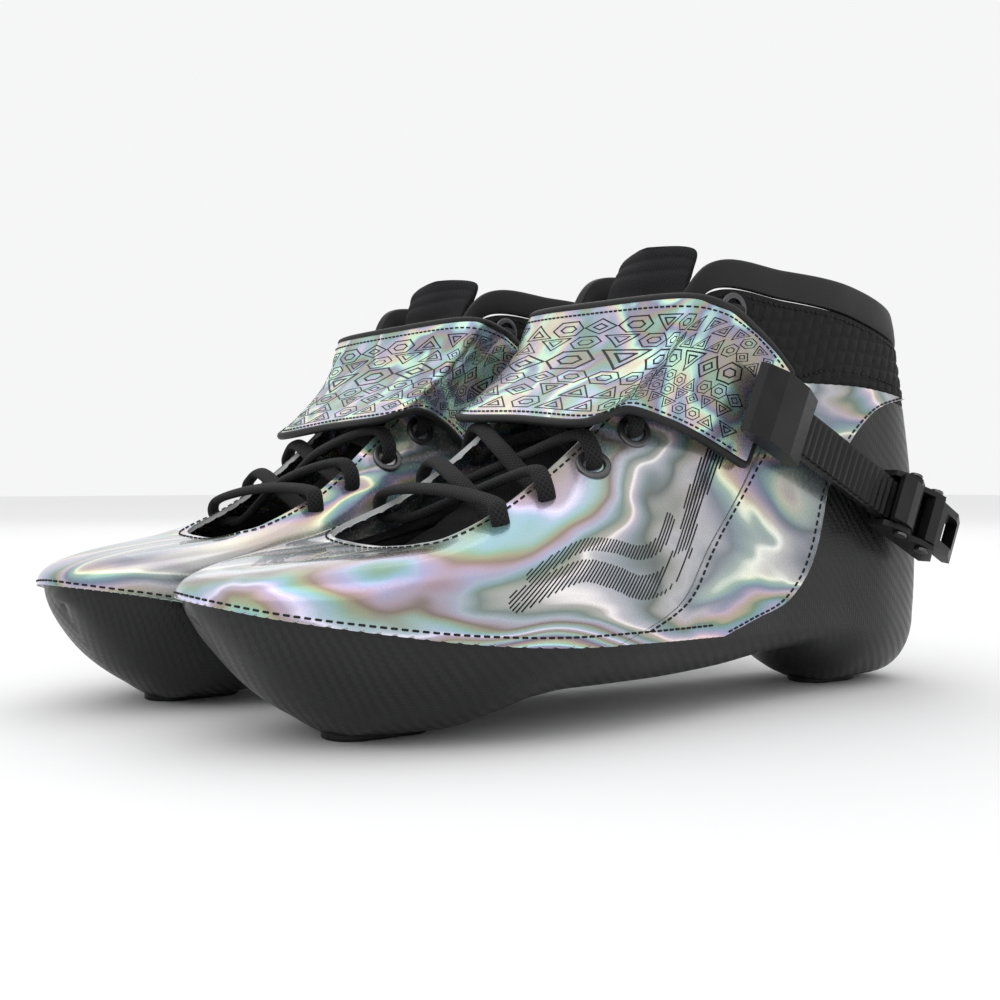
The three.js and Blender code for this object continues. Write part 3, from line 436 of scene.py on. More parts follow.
def arc_chart(points: np.ndarray, wraps: bool = False) -> np.ndarray:
    """Flat map of a grid by its own lengths: distance along the middle row, and up each column."""
    grid = np.concatenate([points, points[:1]]) if wraps else points
    middle = grid[:, grid.shape[1] // 2]
    x = distances(middle)
    y = np.cumsum(np.linalg.norm(np.diff(grid, axis=1), axis=-1), axis=1)
    y = np.concatenate([np.zeros((len(grid), 1)), y], axis=1)
    return np.stack([np.repeat(x[:, None], grid.shape[1], 1), y], -1)


@dataclass
class Placement:
    """Where one boot stands: mirrored for the right foot, turned by its toe-in and moved."""

    side: Side
    insert_centre: tuple = (-1.25, -86.0)
    origin: np.ndarray = field(init=False)

    def __post_init__(self) -> None:
        """Reads the boot's origin from where its front mounting insert was packed."""
        low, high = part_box(f"{self.side.label}_front_mount_insert")
        centre = (np.array(low) + np.array(high)) / 2 / MILLIMETRE
        self.origin = np.zeros(3)
        self.origin[:2] = centre[:2] - self.turned(np.array([[*self.insert_centre, 0.0]]))[0, :2]

    def turned(self, points: np.ndarray) -> np.ndarray:
        """Points mirrored and turned, not yet moved."""
        x, y, z = points[:, 0] * self.side.sign, points[:, 1], points[:, 2]
        c, s = math.cos(self.side.turn), math.sin(self.side.turn)
        return np.stack([c * x - s * y, s * x + c * y, z], -1)

    def world(self, points: np.ndarray) -> np.ndarray:
        """Points in the row frame, in metres."""
        return (self.turned(np.asarray(points, float).reshape(-1, 3)) + self.origin) * MILLIMETRE


# ---- Shader building -------------------------------------------------------------------------------
class Shader:
    """A material whose nodes are added by short calls; each call returns an output socket."""

    def __init__(self, name: str) -> None:
        """Starts a material with only its Principled surface and output."""
        self.material = bpy.data.materials.new(name)
        self.material.use_nodes = True
        self.tree = self.material.node_tree
        self.surface = next(n for n in self.tree.nodes if n.type == "BSDF_PRINCIPLED")

    def node(self, kind: str, inputs: dict | None = None, **settings) -> bpy.types.Node:
        """Adds a node.

        Args:
            kind: the node's type name, without its ShaderNode prefix.
            inputs: value or socket for each input, by name or number.
            settings: the node's own options.

        Returns:
            The node.
        """
        made = self.tree.nodes.new("ShaderNode" + kind)
        for key, value in settings.items():
            setattr(made, key, value)
        for key, value in (inputs or {}).items():
            self.join(value, made.inputs[key])
        return made

    def join(self, value: object, socket: bpy.types.NodeSocket) -> None:
        """Links a socket to an input, or sets the input's own value."""
        if isinstance(value, bpy.types.NodeSocket):
            self.tree.links.new(value, socket)
        else:
            socket.default_value = value

    def math(self, operation: str, a: object, b: object = 0.0) -> bpy.types.NodeSocket:
        """One arithmetic step."""
        return self.node("Math", {0: a, 1: b}, operation=operation).outputs[0]

    def vector(self, operation: str, a: object, b: object) -> bpy.types.NodeSocket:
        """One vector step."""
        return self.node("VectorMath", {0: a, 1: b}, operation=operation).outputs[0]

    def noise(self, where: object, scale: float, detail: float = 2.0, rough: float = 0.5) -> bpy.types.Node:
        """Noise at a place; scale is features per metre on Object coordinates."""
        inputs = {"Vector": where, "Scale": scale, "Detail": detail, "Roughness": rough}
        return self.node("TexNoise", inputs)

    def ramp(self, factor: object, stops: Sequence[tuple]) -> bpy.types.NodeSocket:
        """Colours by position; each stop is (position, (r, g, b))."""
        made = self.node("ValToRGB", {"Fac": factor})
        elements = made.color_ramp.elements
        for _ in range(len(stops) - 2):
            elements.new(0.5)
        for element, (position, colour) in zip(elements, stops):
            element.position = position
            element.color = (*colour, 1.0)
        return made.outputs["Color"]

    def mix(self, factor: object, a: object, b: object, blend: str = "MIX") -> bpy.types.NodeSocket:
        """Mixes two colours; a plain (r, g, b) is given full alpha."""
        full = lambda c: (*c, 1.0) if isinstance(c, tuple) and len(c) == 3 else c
        made = self.node("Mix", data_type="RGBA", blend_type=blend)
        self.join(factor, made.inputs[0])
        self.join(full(a), made.inputs[6])
        self.join(full(b), made.inputs[7])
        return made.outputs[2]

    def span(self, value: object, low: float, high: float, to_low: float,
             to_high: float) -> bpy.types.NodeSocket:
        """Maps a range to another, held at its ends."""
        inputs = {0: value, 1: low, 2: high, 3: to_low, 4: to_high}
        return self.node("MapRange", inputs).outputs[0]

    def bump(self, height: object, depth_mm: float, strength: float = 1.0) -> None:
        """Raises the surface by a height from 0 to 1 times a depth in millimetres."""
        inputs = {"Height": height, "Distance": depth_mm * MILLIMETRE, "Strength": strength}
        self.join(self.node("Bump", inputs).outputs[0], self.surface.inputs["Normal"])

    def finish(self, **values: object) -> bpy.types.Material:
        """Sets the surface's own inputs, with _ for a space in a name, and returns the material."""
        for key, value in values.items():
            if isinstance(value, tuple) and len(value) == 3:
                value = (*value, 1.0)
            self.join(value, self.surface.inputs[key.replace("_", " ")])
        return self.material

    def object_place(self) -> bpy.types.NodeSocket:
        """Object coordinates, in metres."""
        return self.node("TexCoord").outputs["Object"]

    def chart(self) -> tuple:
        """The piece's own flat map in millimetres, as its two numbers."""
        split = self.node("SeparateXYZ", {0: self.node("TexCoord").outputs["UV"]})
        return split.outputs[0], split.outputs[1]


# ---- Finishes ----------------------------------------------------------------------------------------
@dataclass(frozen=True)
class MarbledFoil:
    """Silver holographic film: folded noise bands of grey, with a narrow near-white band that is a painted
    highlight, and pastel rainbow edges.
    """

    name: str = "marbled_foil"
    band_scale: float = 12.0
    bands: float = 4.6
    warp: float = 0.085
    fine_warp: float = 0.02
    tint: float = 0.75

    def material(self) -> bpy.types.Material:
        """Builds the film: two warps bend the place, a noise of it makes the bands and the tint."""
        m = Shader(self.name)
        place = m.vector("MULTIPLY", m.object_place(), (1.0, 0.55, 1.25))
        first = m.noise(place, 13.0, 1.5).outputs["Color"]
        bent = m.vector("MULTIPLY", m.vector("SUBTRACT", first, (0.5, 0.5, 0.5)), (self.warp,) * 3)
        place = m.vector("ADD", place, bent)
        second = m.noise(place, 38.0, 2.0).outputs["Color"]
        bent = m.vector("MULTIPLY", m.vector("SUBTRACT", second, (0.5, 0.5, 0.5)), (self.fine_warp,) * 3)
        place = m.vector("ADD", place, bent)
        field_value = m.noise(place, self.band_scale, 1.0, 0.4).outputs["Fac"]
        band = m.math("FRACT", m.math("MULTIPLY", field_value, self.bands * 2))
        # The grey and dark stops are the film's own marbling; the near-white stop at 0.50 is a painted
        # highlight.
        silver = m.ramp(band, [
            (0.0, (0.34, 0.36, 0.37)), (0.12, (0.13, 0.14, 0.15)), (0.24, (0.26, 0.28, 0.29)),
            (0.42, (0.52, 0.55, 0.56)), (0.50, (0.94, 0.96, 0.95)), (0.56, (0.42, 0.45, 0.46)),
            (0.72, (0.20, 0.22, 0.23)), (0.88, (0.46, 0.49, 0.50)), (1.0, (0.34, 0.36, 0.37))])
        hue = m.math("FRACT", m.math("ADD", m.math("MULTIPLY", field_value, self.bands * 3.5), 0.2))
        rainbow = m.ramp(hue, [
            (0.0, (0.98, 0.62, 0.80)), (0.16, (1.0, 0.66, 0.46)), (0.30, (0.95, 0.92, 0.46)),
            (0.46, (0.46, 0.92, 0.62)), (0.62, (0.40, 0.80, 0.98)), (0.80, (0.62, 0.56, 0.98)),
            (1.0, (0.98, 0.62, 0.80))])
        patch = m.span(m.noise(place, 21.0, 2.0).outputs["Fac"], 0.42, 0.62, 0.12, self.tint)
        colour = m.mix(patch, silver, m.mix(1.0, silver, rainbow, "MULTIPLY"))
        colour = m.mix(m.math("MULTIPLY", patch, 0.2), colour, rainbow)
        grain = m.noise(m.object_place(), 900.0, 2.0).outputs["Fac"]
        rough = m.span(grain, 0.3, 0.7, 0.2, 0.3)
        m.bump(m.noise(m.object_place(), 55.0, 2.0).outputs["Fac"], 0.35, 0.35)
        return m.finish(Base_Color=colour, Metallic=0.6, Roughness=rough, Coat_Weight=0.6,
                        Coat_Roughness=0.04)


@dataclass(frozen=True)
class StrapFoil:
    """The strap's silver film: finer, paler marbling than the upper's."""

    name: str = "strap_foil"

    def material(self) -> bpy.types.Material:
        """Builds the film from one warped noise and a pastel ramp."""
        m = Shader(self.name)
        place = m.object_place()
        first = m.noise(place, 40.0, 2.0).outputs["Color"]
        place = m.vector("ADD", place, m.vector("MULTIPLY", first, (0.03, 0.03, 0.03)))
        value = m.noise(place, 26.0, 2.0).outputs["Fac"]
        silver = m.ramp(m.math("FRACT", m.math("MULTIPLY", value, 5.0)), [
            (0.0, (0.40, 0.42, 0.43)), (0.3, (0.66, 0.69, 0.69)), (0.5, (0.90, 0.93, 0.92)),
            (0.7, (0.34, 0.36, 0.38)), (1.0, (0.40, 0.42, 0.43))])
        rainbow = m.ramp(m.math("FRACT", m.math("MULTIPLY", value, 9.0)), [
            (0.0, (0.86, 0.64, 1.0)), (0.25, (1.0, 0.78, 0.50)), (0.5, (0.52, 1.0, 0.64)),
            (0.75, (0.46, 0.78, 1.0)), (1.0, (0.86, 0.64, 1.0))])
        colour = m.mix(0.7, silver, m.mix(1.0, silver, rainbow, "MULTIPLY"))
        grain = m.noise(m.object_place(), 1500.0, 2.0).outputs["Fac"]
        m.bump(grain, 0.06, 0.4)
        rough = m.span(grain, 0.3, 0.7, 0.22, 0.34)
        return m.finish(Base_Color=colour, Metallic=0.65, Roughness=rough, Coat_Weight=0.5,
                        Coat_Roughness=0.1)


@dataclass(frozen=True)
class TwillCarbon:
    """Clear-coated carbon laminate: a two-over-two twill whose tows catch the light in turn."""

    name: str = "twill_carbon"
    tow: float = 1.15

    def material(self) -> bpy.types.Material:
        """Builds the twill: a cell shows the warp where (column + row) modulo 4 is below 2."""
        m = Shader(self.name)
        x, y = m.chart()
        x, y = m.math("DIVIDE", x, self.tow), m.math("DIVIDE", y, self.tow)
        step = m.math("ADD", m.math("FLOOR", x), m.math("FLOOR", y))
        over = m.math("LESS_THAN", m.math("FLOORED_MODULO", step, 4.0), 1.5)
        crown = lambda c: m.math("SINE", m.math("MULTIPLY", m.math("FRACT", c), math.pi))
        height = m.mix(over, crown(x), crown(y))
        cloud = m.noise(m.object_place(), 45.0, 3.0).outputs["Fac"]
        tone = m.mix(over, (0.004, 0.004, 0.0045), (0.011, 0.0115, 0.012))
        colour = m.mix(m.span(cloud, 0.35, 0.7, 0.0, 0.6), tone, (0.005, 0.005, 0.0055))
        rough = m.span(m.math("ADD", m.math("MULTIPLY", over, 0.5), cloud), 0.3, 1.1, 0.3, 0.5)
        m.bump(height, 0.07, 0.5)
        return m.finish(Base_Color=colour, Roughness=rough, Specular_IOR_Level=0.3, Coat_Weight=0.12,
                        Coat_Roughness=0.12)


@dataclass(frozen=True)
class WovenCloth:
    """Plain-woven or knitted cloth on the piece's own flat map."""

    name: str
    dark: tuple
    light: tuple
    pitch: float
    depth: float
    rough: float = 0.85
    sheen: float = 0.04

    def material(self) -> bpy.types.Material:
        """Builds the weave: crossed sine threads whose product is the height; the colour follows that height
        and a random fuzz, so the weave's hollows are painted shade.
        """
        m = Shader(self.name)
        x, y = m.chart()
        turn = 2 * math.pi / self.pitch
        wave = m.math("MULTIPLY", m.math("SINE", m.math("MULTIPLY", x, turn)),
                      m.math("SINE", m.math("MULTIPLY", y, turn)))
        height = m.span(wave, -1.0, 1.0, 0.0, 1.0)
        fuzz = m.noise(m.object_place(), 700.0, 3.0).outputs["Fac"]
        share = m.math("MULTIPLY", m.math("ADD", height, fuzz), 0.5)
        m.bump(share, self.depth, 0.7)
        # Colour darker in the weave's hollows is painted shade; the fuzz noise mixed into it is random tone.
        return m.finish(Base_Color=m.mix(share, self.dark, self.light),
                        Roughness=m.span(fuzz, 0.3, 0.7, self.rough - 0.08, self.rough + 0.06),
                        Specular_IOR_Level=0.2, Sheen_Weight=self.sheen, Sheen_Roughness=0.4)


@dataclass(frozen=True)
class BraidedCord:
    """Tubular braid: two families of slanted yarns that cross along the lace."""

    name: str = "braided_cord"
    yarn: float = 1.15

    def material(self) -> bpy.types.Material:
        """Builds the braid: height is the larger of two slanted sine ridges; the colour follows that height,
        so the grooves between yarns are painted shade.
        """
        m = Shader(self.name)
        x, y = m.chart()
        turn = 2 * math.pi / self.yarn
        ridge = lambda sign: m.math("SINE", m.math("MULTIPLY", m.math(
            "ADD", m.math("MULTIPLY", x, 0.75), m.math("MULTIPLY", y, sign)), turn))
        height = m.span(m.math("MAXIMUM", ridge(1.0), ridge(-1.0)), -0.6, 1.0, 0.0, 1.0)
        fuzz = m.noise(m.object_place(), 900.0, 3.0).outputs["Fac"]
        m.bump(m.math("ADD", height, m.math("MULTIPLY", fuzz, 0.4)), 0.3, 0.8)
        # Colour darker in the grooves between yarns is painted shade.
        return m.finish(Base_Color=m.mix(height, (0.003, 0.003, 0.0032), (0.016, 0.016, 0.017)),
                        Roughness=0.82, Specular_IOR_Level=0.25, Sheen_Weight=0.04, Sheen_Roughness=0.35)


@dataclass(frozen=True)
class GrainedMoulding:
    """Moulded nylon or coated synthetic: fine grain with slightly worn, paler patches."""

    name: str
    colour: tuple
    worn: tuple
    rough: float
    grain: float = 1400.0
    depth: float = 0.06
    metallic: float = 0.0
    shine: float = 0.28

    def material(self) -> bpy.types.Material:
        """Builds the grain from fine noise, and the wear from broad noise."""
        m = Shader(self.name)
        place = m.object_place()
        fine = m.noise(place, self.grain, 2.0).outputs["Fac"]
        broad = m.noise(place, 60.0, 3.0, 0.6).outputs["Fac"]
        m.bump(fine, self.depth, 0.6)
        colour = m.mix(m.span(broad, 0.45, 0.75, 0.0, 0.7), self.colour, self.worn)
        rough = m.span(m.math("ADD", fine, broad), 0.7, 1.3, self.rough - 0.08, self.rough + 0.1)
        return m.finish(Base_Color=colour, Roughness=rough, Metallic=self.metallic,
                        Specular_IOR_Level=self.shine)


class Finishes:
    """Every material of the pair, made once."""

    def __init__(self) -> None:
        """Builds the materials."""
        self.foil = MarbledFoil().material()
        self.strap_foil = StrapFoil().material()
        self.carbon = TwillCarbon().material()
        cloth = lambda *row: WovenCloth(*row).material()
        grained = lambda *row: GrainedMoulding(*row).material()
        self.quilt = cloth("quilted_cloth", (0.006, 0.006, 0.0065), (0.016, 0.016, 0.017), 0.7, 0.08)
        self.lining = cloth("mesh_lining", (0.006, 0.006, 0.007), (0.022, 0.022, 0.024), 1.6, 0.3)
        self.webbing = cloth("tab_webbing", (0.008, 0.008, 0.009), (0.03, 0.03, 0.03), 1.1, 0.25)
        self.cord = BraidedCord().material()
        self.band = grained("smooth_band", (0.008, 0.008, 0.0085), (0.016, 0.016, 0.017), 0.5, 2400.0, 0.03)
        self.moulding = grained("nylon_moulding", (0.006, 0.006, 0.0065), (0.014, 0.014, 0.015), 0.4)
        self.binding = grained("edge_binding", (0.01, 0.01, 0.011), (0.022, 0.022, 0.023), 0.5, 1800.0, 0.05)
        self.cut_edge = grained("cut_edge", (0.52, 0.53, 0.53), (0.68, 0.68, 0.67), 0.7, 1800.0, 0.1)
        self.thread = grained("waxed_thread", (0.004, 0.004, 0.0045), (0.012, 0.012, 0.013), 0.6, 3000, 0.08)
        self.print = grained("black_print", (0.004, 0.0042, 0.0045), (0.01, 0.01, 0.011), 0.38, 2600.0, 0.02)
        self.steel = grained("gunmetal", (0.1, 0.1, 0.105), (0.18, 0.18, 0.185), 0.34, 2200, 0.03, 0.95, 0.5)
        self.block = grained("anodised_block", (0.02, 0.02, 0.021), (0.05, 0.05, 0.05), 0.4, 1800, 0.03, 0.8)
        self.foam = cloth("foam_footbed", (0.018, 0.018, 0.02), (0.05, 0.05, 0.055), 2.4, 0.25)


# ---- Pieces ----------------------------------------------------------------------------------------
def linked(name: str, data: bpy.types.ID) -> bpy.types.Object:
    """A new object of the scene that shows the data."""
    made = bpy.data.objects.new(name, data)
    bpy.context.scene.collection.objects.link(made)
    return made


def smoothed(mesh: bpy.types.Mesh, degrees: float) -> None:
    """Shades a mesh smooth, but for edges sharper than an angle."""
    mesh.polygons.foreach_set("use_smooth", np.ones(len(mesh.polygons), bool))
    mesh.set_sharp_from_angle(angle=math.radians(degrees))


def rounded_edges(made: bpy.types.Object, width: float, segments: int, degrees: float) -> None:
    """Rounds edges sharper than an angle by a width in millimetres."""
    rounding = made.modifiers.new("rounding", "BEVEL")
    rounding.width = width * MILLIMETRE
    rounding.segments = segments
    rounding.limit_method = "ANGLE"
    rounding.angle_limit = math.radians(degrees)
    rounding.use_clamp_overlap = True
    rounding.harden_normals = True


@dataclass
class Workshop:
    """Makes Blender objects from solids in one boot's frame."""

    placement: Placement
    finishes: Finishes

    def name(self, part: str) -> str:
        """Full name of one boot's piece."""
        return f"{self.placement.side.label}_{part}"

    def body(self, part: str = "boot") -> str:
        """Full name of one boot's body."""
        return f"{self.placement.side.label}_{part}"

    def make(self, part: str, solid: Solid, materials: Sequence, bevel: float = 0.0,
             weld: bool = False) -> bpy.types.Object:
        """Makes an object from a solid.

        Args:
            part: its name without the side.
            solid: the mesh, in the boot's frame.
            materials: one material for each finish number of the solid.
            bevel: rounding of its sharp edges, in millimetres.
            weld: True to merge points that coincide.

        Returns:
            The object, facing outwards, with its place in its mesh.
        """
        points = self.placement.world(solid.points)
        mesh = bpy.data.meshes.new(self.name(part))
        mesh.from_pydata(points, [], solid.faces)
        layer = mesh.uv_layers.new(name="chart")
        layer.data.foreach_set("uv", np.asarray(solid.corners, np.float32).ravel())
        for material in materials:
            mesh.materials.append(material)
        index = np.minimum(solid.finish, len(materials) - 1)
        mesh.polygons.foreach_set("material_index", index.astype(np.int32))
        self.settle(mesh, weld)
        made = linked(self.name(part), mesh)
        if bevel:
            rounded_edges(made, bevel, 2, ROUNDED_LOFTED)
        LOG.info("%s: %d faces", made.name, len(mesh.polygons))
        return made

    def settle(self, mesh: bpy.types.Mesh, weld: bool) -> None:
        """Merges coinciding points if asked, points all faces outwards and smooths them."""
        work = bmesh.new()
        work.from_mesh(mesh)
        if weld:
            bmesh.ops.remove_doubles(work, verts=work.verts, dist=WELD)
            bmesh.ops.dissolve_degenerate(work, edges=work.edges, dist=1e-7)
        if work.calc_volume(signed=True) < 0:
            bmesh.ops.reverse_faces(work, faces=work.faces)
        work.to_mesh(mesh)
        work.free()
        smoothed(mesh, SHARP_LOFTED)

    def moulded(self, part: str, body: str, material: bpy.types.Material, bevel: float) -> bpy.types.Object:
        """Stands a welded, bevelled copy of a CAD solid in its place.

        Args:
            part: the node's name without the side.
            body: the body it rides on, without the side.
            material: its finish.
            bevel: rounding of its edges, in millimetres.

        Returns:
            The new piece.
        """
        node = self.name(part)
        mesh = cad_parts[node].data.copy()
        mesh.name = node + "_moulded"
        work = bmesh.new()
        work.from_mesh(mesh)
        bmesh.ops.remove_doubles(work, verts=work.verts, dist=WELD)
        bmesh.ops.dissolve_limit(work, angle_limit=math.radians(1.5), verts=work.verts, edges=work.edges)
        work.to_mesh(mesh)
        work.free()
        mesh.materials.clear()
        mesh.materials.append(material)
        mesh.polygons.foreach_set("material_index", np.zeros(len(mesh.polygons), np.int32))
        smoothed(mesh, SHARP_MOULDED)
        made = linked(node + "_moulded", mesh)
        rounded_edges(made, bevel, 3, ROUNDED_MOULDED)
        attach(made, self.body(body))
        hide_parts(node)
        return made


def grid(columns: int, rows: int) -> tuple:
    """Two arrays, a along the columns and b along the rows, both from 0 to 1."""
    return np.meshgrid(np.linspace(0, 1, columns + 1), np.linspace(0, 1, rows + 1), indexing="ij")


def skin_panel(s: np.ndarray, v: np.ndarray, low: np.ndarray, high: np.ndarray) -> Solid:
    """Closed panel over the skin between two offsets."""
    outer, inner = LAST.at(s, v, high), LAST.at(s, v, low)
    return between(outer, inner, arc_chart(outer))


def stitch_run(s: np.ndarray, v: np.ndarray, offset: float) -> tuple:
    """Points and normals of a seam line over the skin."""
    s, v = np.broadcast_arrays(np.asarray(s, float), np.asarray(v, float))
    return LAST.at(s, v, offset), LAST.normal(s / STATIONS, v)


def throat_lift(s: np.ndarray) -> np.ndarray:
    """Direction straight out of the throat at a station: the mean of its two edges' normals."""
    u, edge = np.asarray(s, float) / STATIONS, np.ones_like(np.asarray(s, float))
    return unit(LAST.normal(u, edge) + LAST.normal(-u, edge))


@dataclass
class Stitching:
    """Rows of sewn thread: small tapered capsules that dip into the surface at both ends."""

    pitch: float = 2.9
    length: float = 2.15
    radius: float = 0.34
    sides: int = 6

    def along(self, runs: Sequence[tuple]) -> Solid:
        """Stitches along seam lines.

        Args:
            runs: pairs of points and normals, each of shape (n, 3).

        Returns:
            One solid of all stitches, each four rings of points closed at both ends.
        """
        centres, ahead, out = (np.concatenate(part) for part in zip(*[self.spaced(*run) for run in runs]))
        across = unit(np.cross(ahead, out))
        angle = round_angles(self.sides)
        along = np.array([-0.5, -0.36, 0.36, 0.5]) * self.length
        width = np.array([0.35, 1.0, 1.0, 0.35]) * self.radius
        dip = np.array([-0.35, 0.0, 0.0, -0.35])
        ring = (across[:, None] * np.cos(angle)[None, :, None] + out[:, None] * np.sin(angle)[None, :, None])
        along, width, dip = (row[None, :, None, None] for row in (along, width, dip))
        points = (centres[:, None, None] + ahead[:, None, None] * along + out[:, None, None] * dip
                  + ring[:, None] * width)
        return capped_runs(points)

    def spaced(self, points: np.ndarray, normals: np.ndarray) -> tuple:
        """Even places along a line: their points, directions and normals."""
        length = distances(points)
        where = np.arange(self.pitch / 2, length[-1], self.pitch)
        read = lambda values, x: np.stack([np.interp(x, length, values[:, k]) for k in range(3)], -1)
        ahead = unit(read(points, where + 0.8) - read(points, where - 0.8))
        out = read(normals, where)
        out = unit(out - ahead * np.sum(out * ahead, -1, keepdims=True))
        return read(points, where), ahead, out


@dataclass
class CarbonShell:
    """The moulded hull under the foot and the heel cup, with its mounting blocks and footbed."""

    columns: int = 216
    sole_rows: int = 22
    wall_rows: int = 12
    thickness: float = 1.8
    bed_columns: int = 120
    bed_edge: float = 0.68
    bed_inset: float = 8
    bed_top: float = 4.8
    bed_under: float = 1.3

    def build(self, shop: Workshop) -> None:
        """Builds the shell, inserts and footbed."""
        u = np.arange(self.columns) / self.columns
        sole = np.linspace(1, 0, self.sole_rows, endpoint=False)
        wall = np.linspace(0, 1, self.wall_rows + 1)
        top = self.top(u * STATIONS)
        side = lambda inset: LAST.at(u[:, None] * STATIONS, wall[None] * top[:, None], -inset)
        under = lambda inset, depth: LAST.hull(*np.meshgrid(u, sole, indexing="ij"), inset, depth)
        outer = np.concatenate([under(0.0, LAST.keel), side(0.0)], axis=1)
        inner = np.concatenate([under(self.thickness, LAST.floor), side(self.thickness)], axis=1)
        solid = without_rim(between(outer, inner, self.chart(outer), wraps=True), self.columns)
        shell = shop.make("shell_laminate", solid, [shop.finishes.carbon], weld=True)
        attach(shell, shop.body())
        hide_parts(shop.name("carbon_shell"))
        for which in ("front", "rear"):
            block = shop.moulded(f"{which}_mount_insert", "boot", shop.finishes.block, 0.6)
        self.footbed(shop)

    def top(self, s: np.ndarray) -> np.ndarray:
        """Height of the shell's upper edge at a station."""
        rear = smooth_table(QUILT_LOW, np.array(9.2)) - LAP
        table = ((0, 0.12), (5.5, 0.12), (9.2, float(rear)), (10.3, 0.675), (12, 0.665))
        return smooth_table(table, side_station(s))

    def chart(self, outer: np.ndarray) -> np.ndarray:
        """Flat map of the shell: girth from the keel upwards, and length along each side."""
        spread = arc_chart(outer, wraps=True)
        closed = np.concatenate([outer, outer[:1]])
        spread[..., 0] = closed[..., 1]
        return spread

    def footbed(self, shop: Workshop) -> None:
        """Builds the thin foam bed on the shell's floor."""
        u = np.arange(self.bed_columns) / self.bed_columns
        rows = np.linspace(1, self.bed_edge, 14)
        bed = LAST.hull(*np.meshgrid(u, rows, indexing="ij"), self.thickness + self.bed_inset, LAST.floor)
        lift = np.array([0.0, 0.0, 1.0])
        upper, lower = bed + lift * self.bed_top, bed + lift * self.bed_under
        solid = without_rim(between(upper, lower, self.chart(upper), wraps=True), self.bed_columns)
        bed_piece = shop.make("foam_footbed", solid, [shop.finishes.foam], weld=True)
        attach(bed_piece, shop.body())
        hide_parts(shop.name("footbed"))


@dataclass
class FoilUpper:
    """The foil vamp and its two rear overlays, with their stitching and the printed side graphic."""

    columns: int = 260
    rows: int = 56
    throat: float = 0.995

    def top(self, s: np.ndarray) -> np.ndarray:
        """Height of the vamp's upper edge at a station."""
        table = ((0, self.throat), (6.5, self.throat), (7.0, 0.96), (7.5, 0.82), (8.0, 0.70), (9, SEAM_TOP))
        return smooth_table(table, side_station(s))

    def vamp_place(self, a: np.ndarray, b: np.ndarray) -> tuple:
        """Station and height in the vamp for a from -1 to 1 across and b from 0 to 1 up."""
        s = a * smooth_table(SEAM, b * SEAM_TOP)
        return s, b * self.top(a * smooth_table(SEAM, np.array(SEAM_TOP)))

    def overlay_place(self, a: np.ndarray, b: np.ndarray) -> tuple:
        """Station and height in an overlay for a from its seam to its rear edge and b up."""
        k = b * (len(REAR_EDGE) - 1)
        rear = open_spline(np.concatenate([REAR_EDGE, np.zeros((len(REAR_EDGE), 1))], 1), 601)
        index = np.linspace(0, len(REAR_EDGE) - 1, 601)
        rear_s, rear_v = np.interp(k, index, rear[:, 0]), np.interp(k, index, rear[:, 1])
        front_v = b * SEAM_TOP
        front_s = smooth_table(SEAM, front_v) + SEAM_GAP
        return front_s + (rear_s - front_s) * a, front_v + (rear_v - front_v) * a

    def build(self, shop: Workshop) -> None:
        """Builds the vamp, overlays, stitches and the side graphic."""
        look = [shop.finishes.foil, shop.finishes.cut_edge]
        a, b = grid(self.columns, self.rows)
        s, v = self.vamp_place(2 * a - 1, b)
        vamp = shop.make("foil_vamp", skin_panel(s, v, PANEL_LOW, PANEL_HIGH), look, bevel=0.35)
        self.settle(vamp, shop, "upper")
        for label, sign in (("outer", 1.0), ("inner", -1.0)):
            a, b = grid(60, 110)
            s, v = self.overlay_place(a, b)
            piece = skin_panel(sign * s, v, PANEL_LOW, PANEL_HIGH)
            overlay = shop.make(f"{label}_foil_overlay", piece, look, bevel=0.35)
            self.settle(overlay, shop, f"{label}_overlay")
        self.stitches(shop)
        for sign, label in ((1.0, "outer"), (-1.0, "inner")):
            graphic = shop.make(f"{label}_side_print", SideGraphic(sign).solid(), [shop.finishes.print])
            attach(graphic, shop.body())

    def settle(self, piece: bpy.types.Object, shop: Workshop, node: str) -> None:
        """Rides a foil piece on the boot in place of its CAD solid."""
        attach(piece, shop.body())
        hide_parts(shop.name(node))

    def stitches(self, shop: Workshop) -> None:
        """Sews the lower edge, throat, seams and rear edges."""
        runs = [stitch_run(np.linspace(-6.9, 6.9, 400), 0.035, PANEL_HIGH + 0.1)]
        edge = np.linspace(-6.6, 6.6, 300)
        runs.append(stitch_run(edge, 0.955, PANEL_HIGH + 0.1))
        b = np.linspace(0.02, 0.99, 200)
        for sign in (1.0, -1.0):
            s, v = self.overlay_place(np.full_like(b, 0.955), b)
            runs.append(stitch_run(sign * s, v, PANEL_HIGH + 0.1))
            s, v = self.overlay_place(0.0, b[6:])
            runs.append(stitch_run(sign * (s + 0.09), v, PANEL_HIGH + 0.1))
        sewn = shop.make("foil_stitching", Stitching().along(runs), [shop.finishes.thread])
        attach(sewn, shop.body())


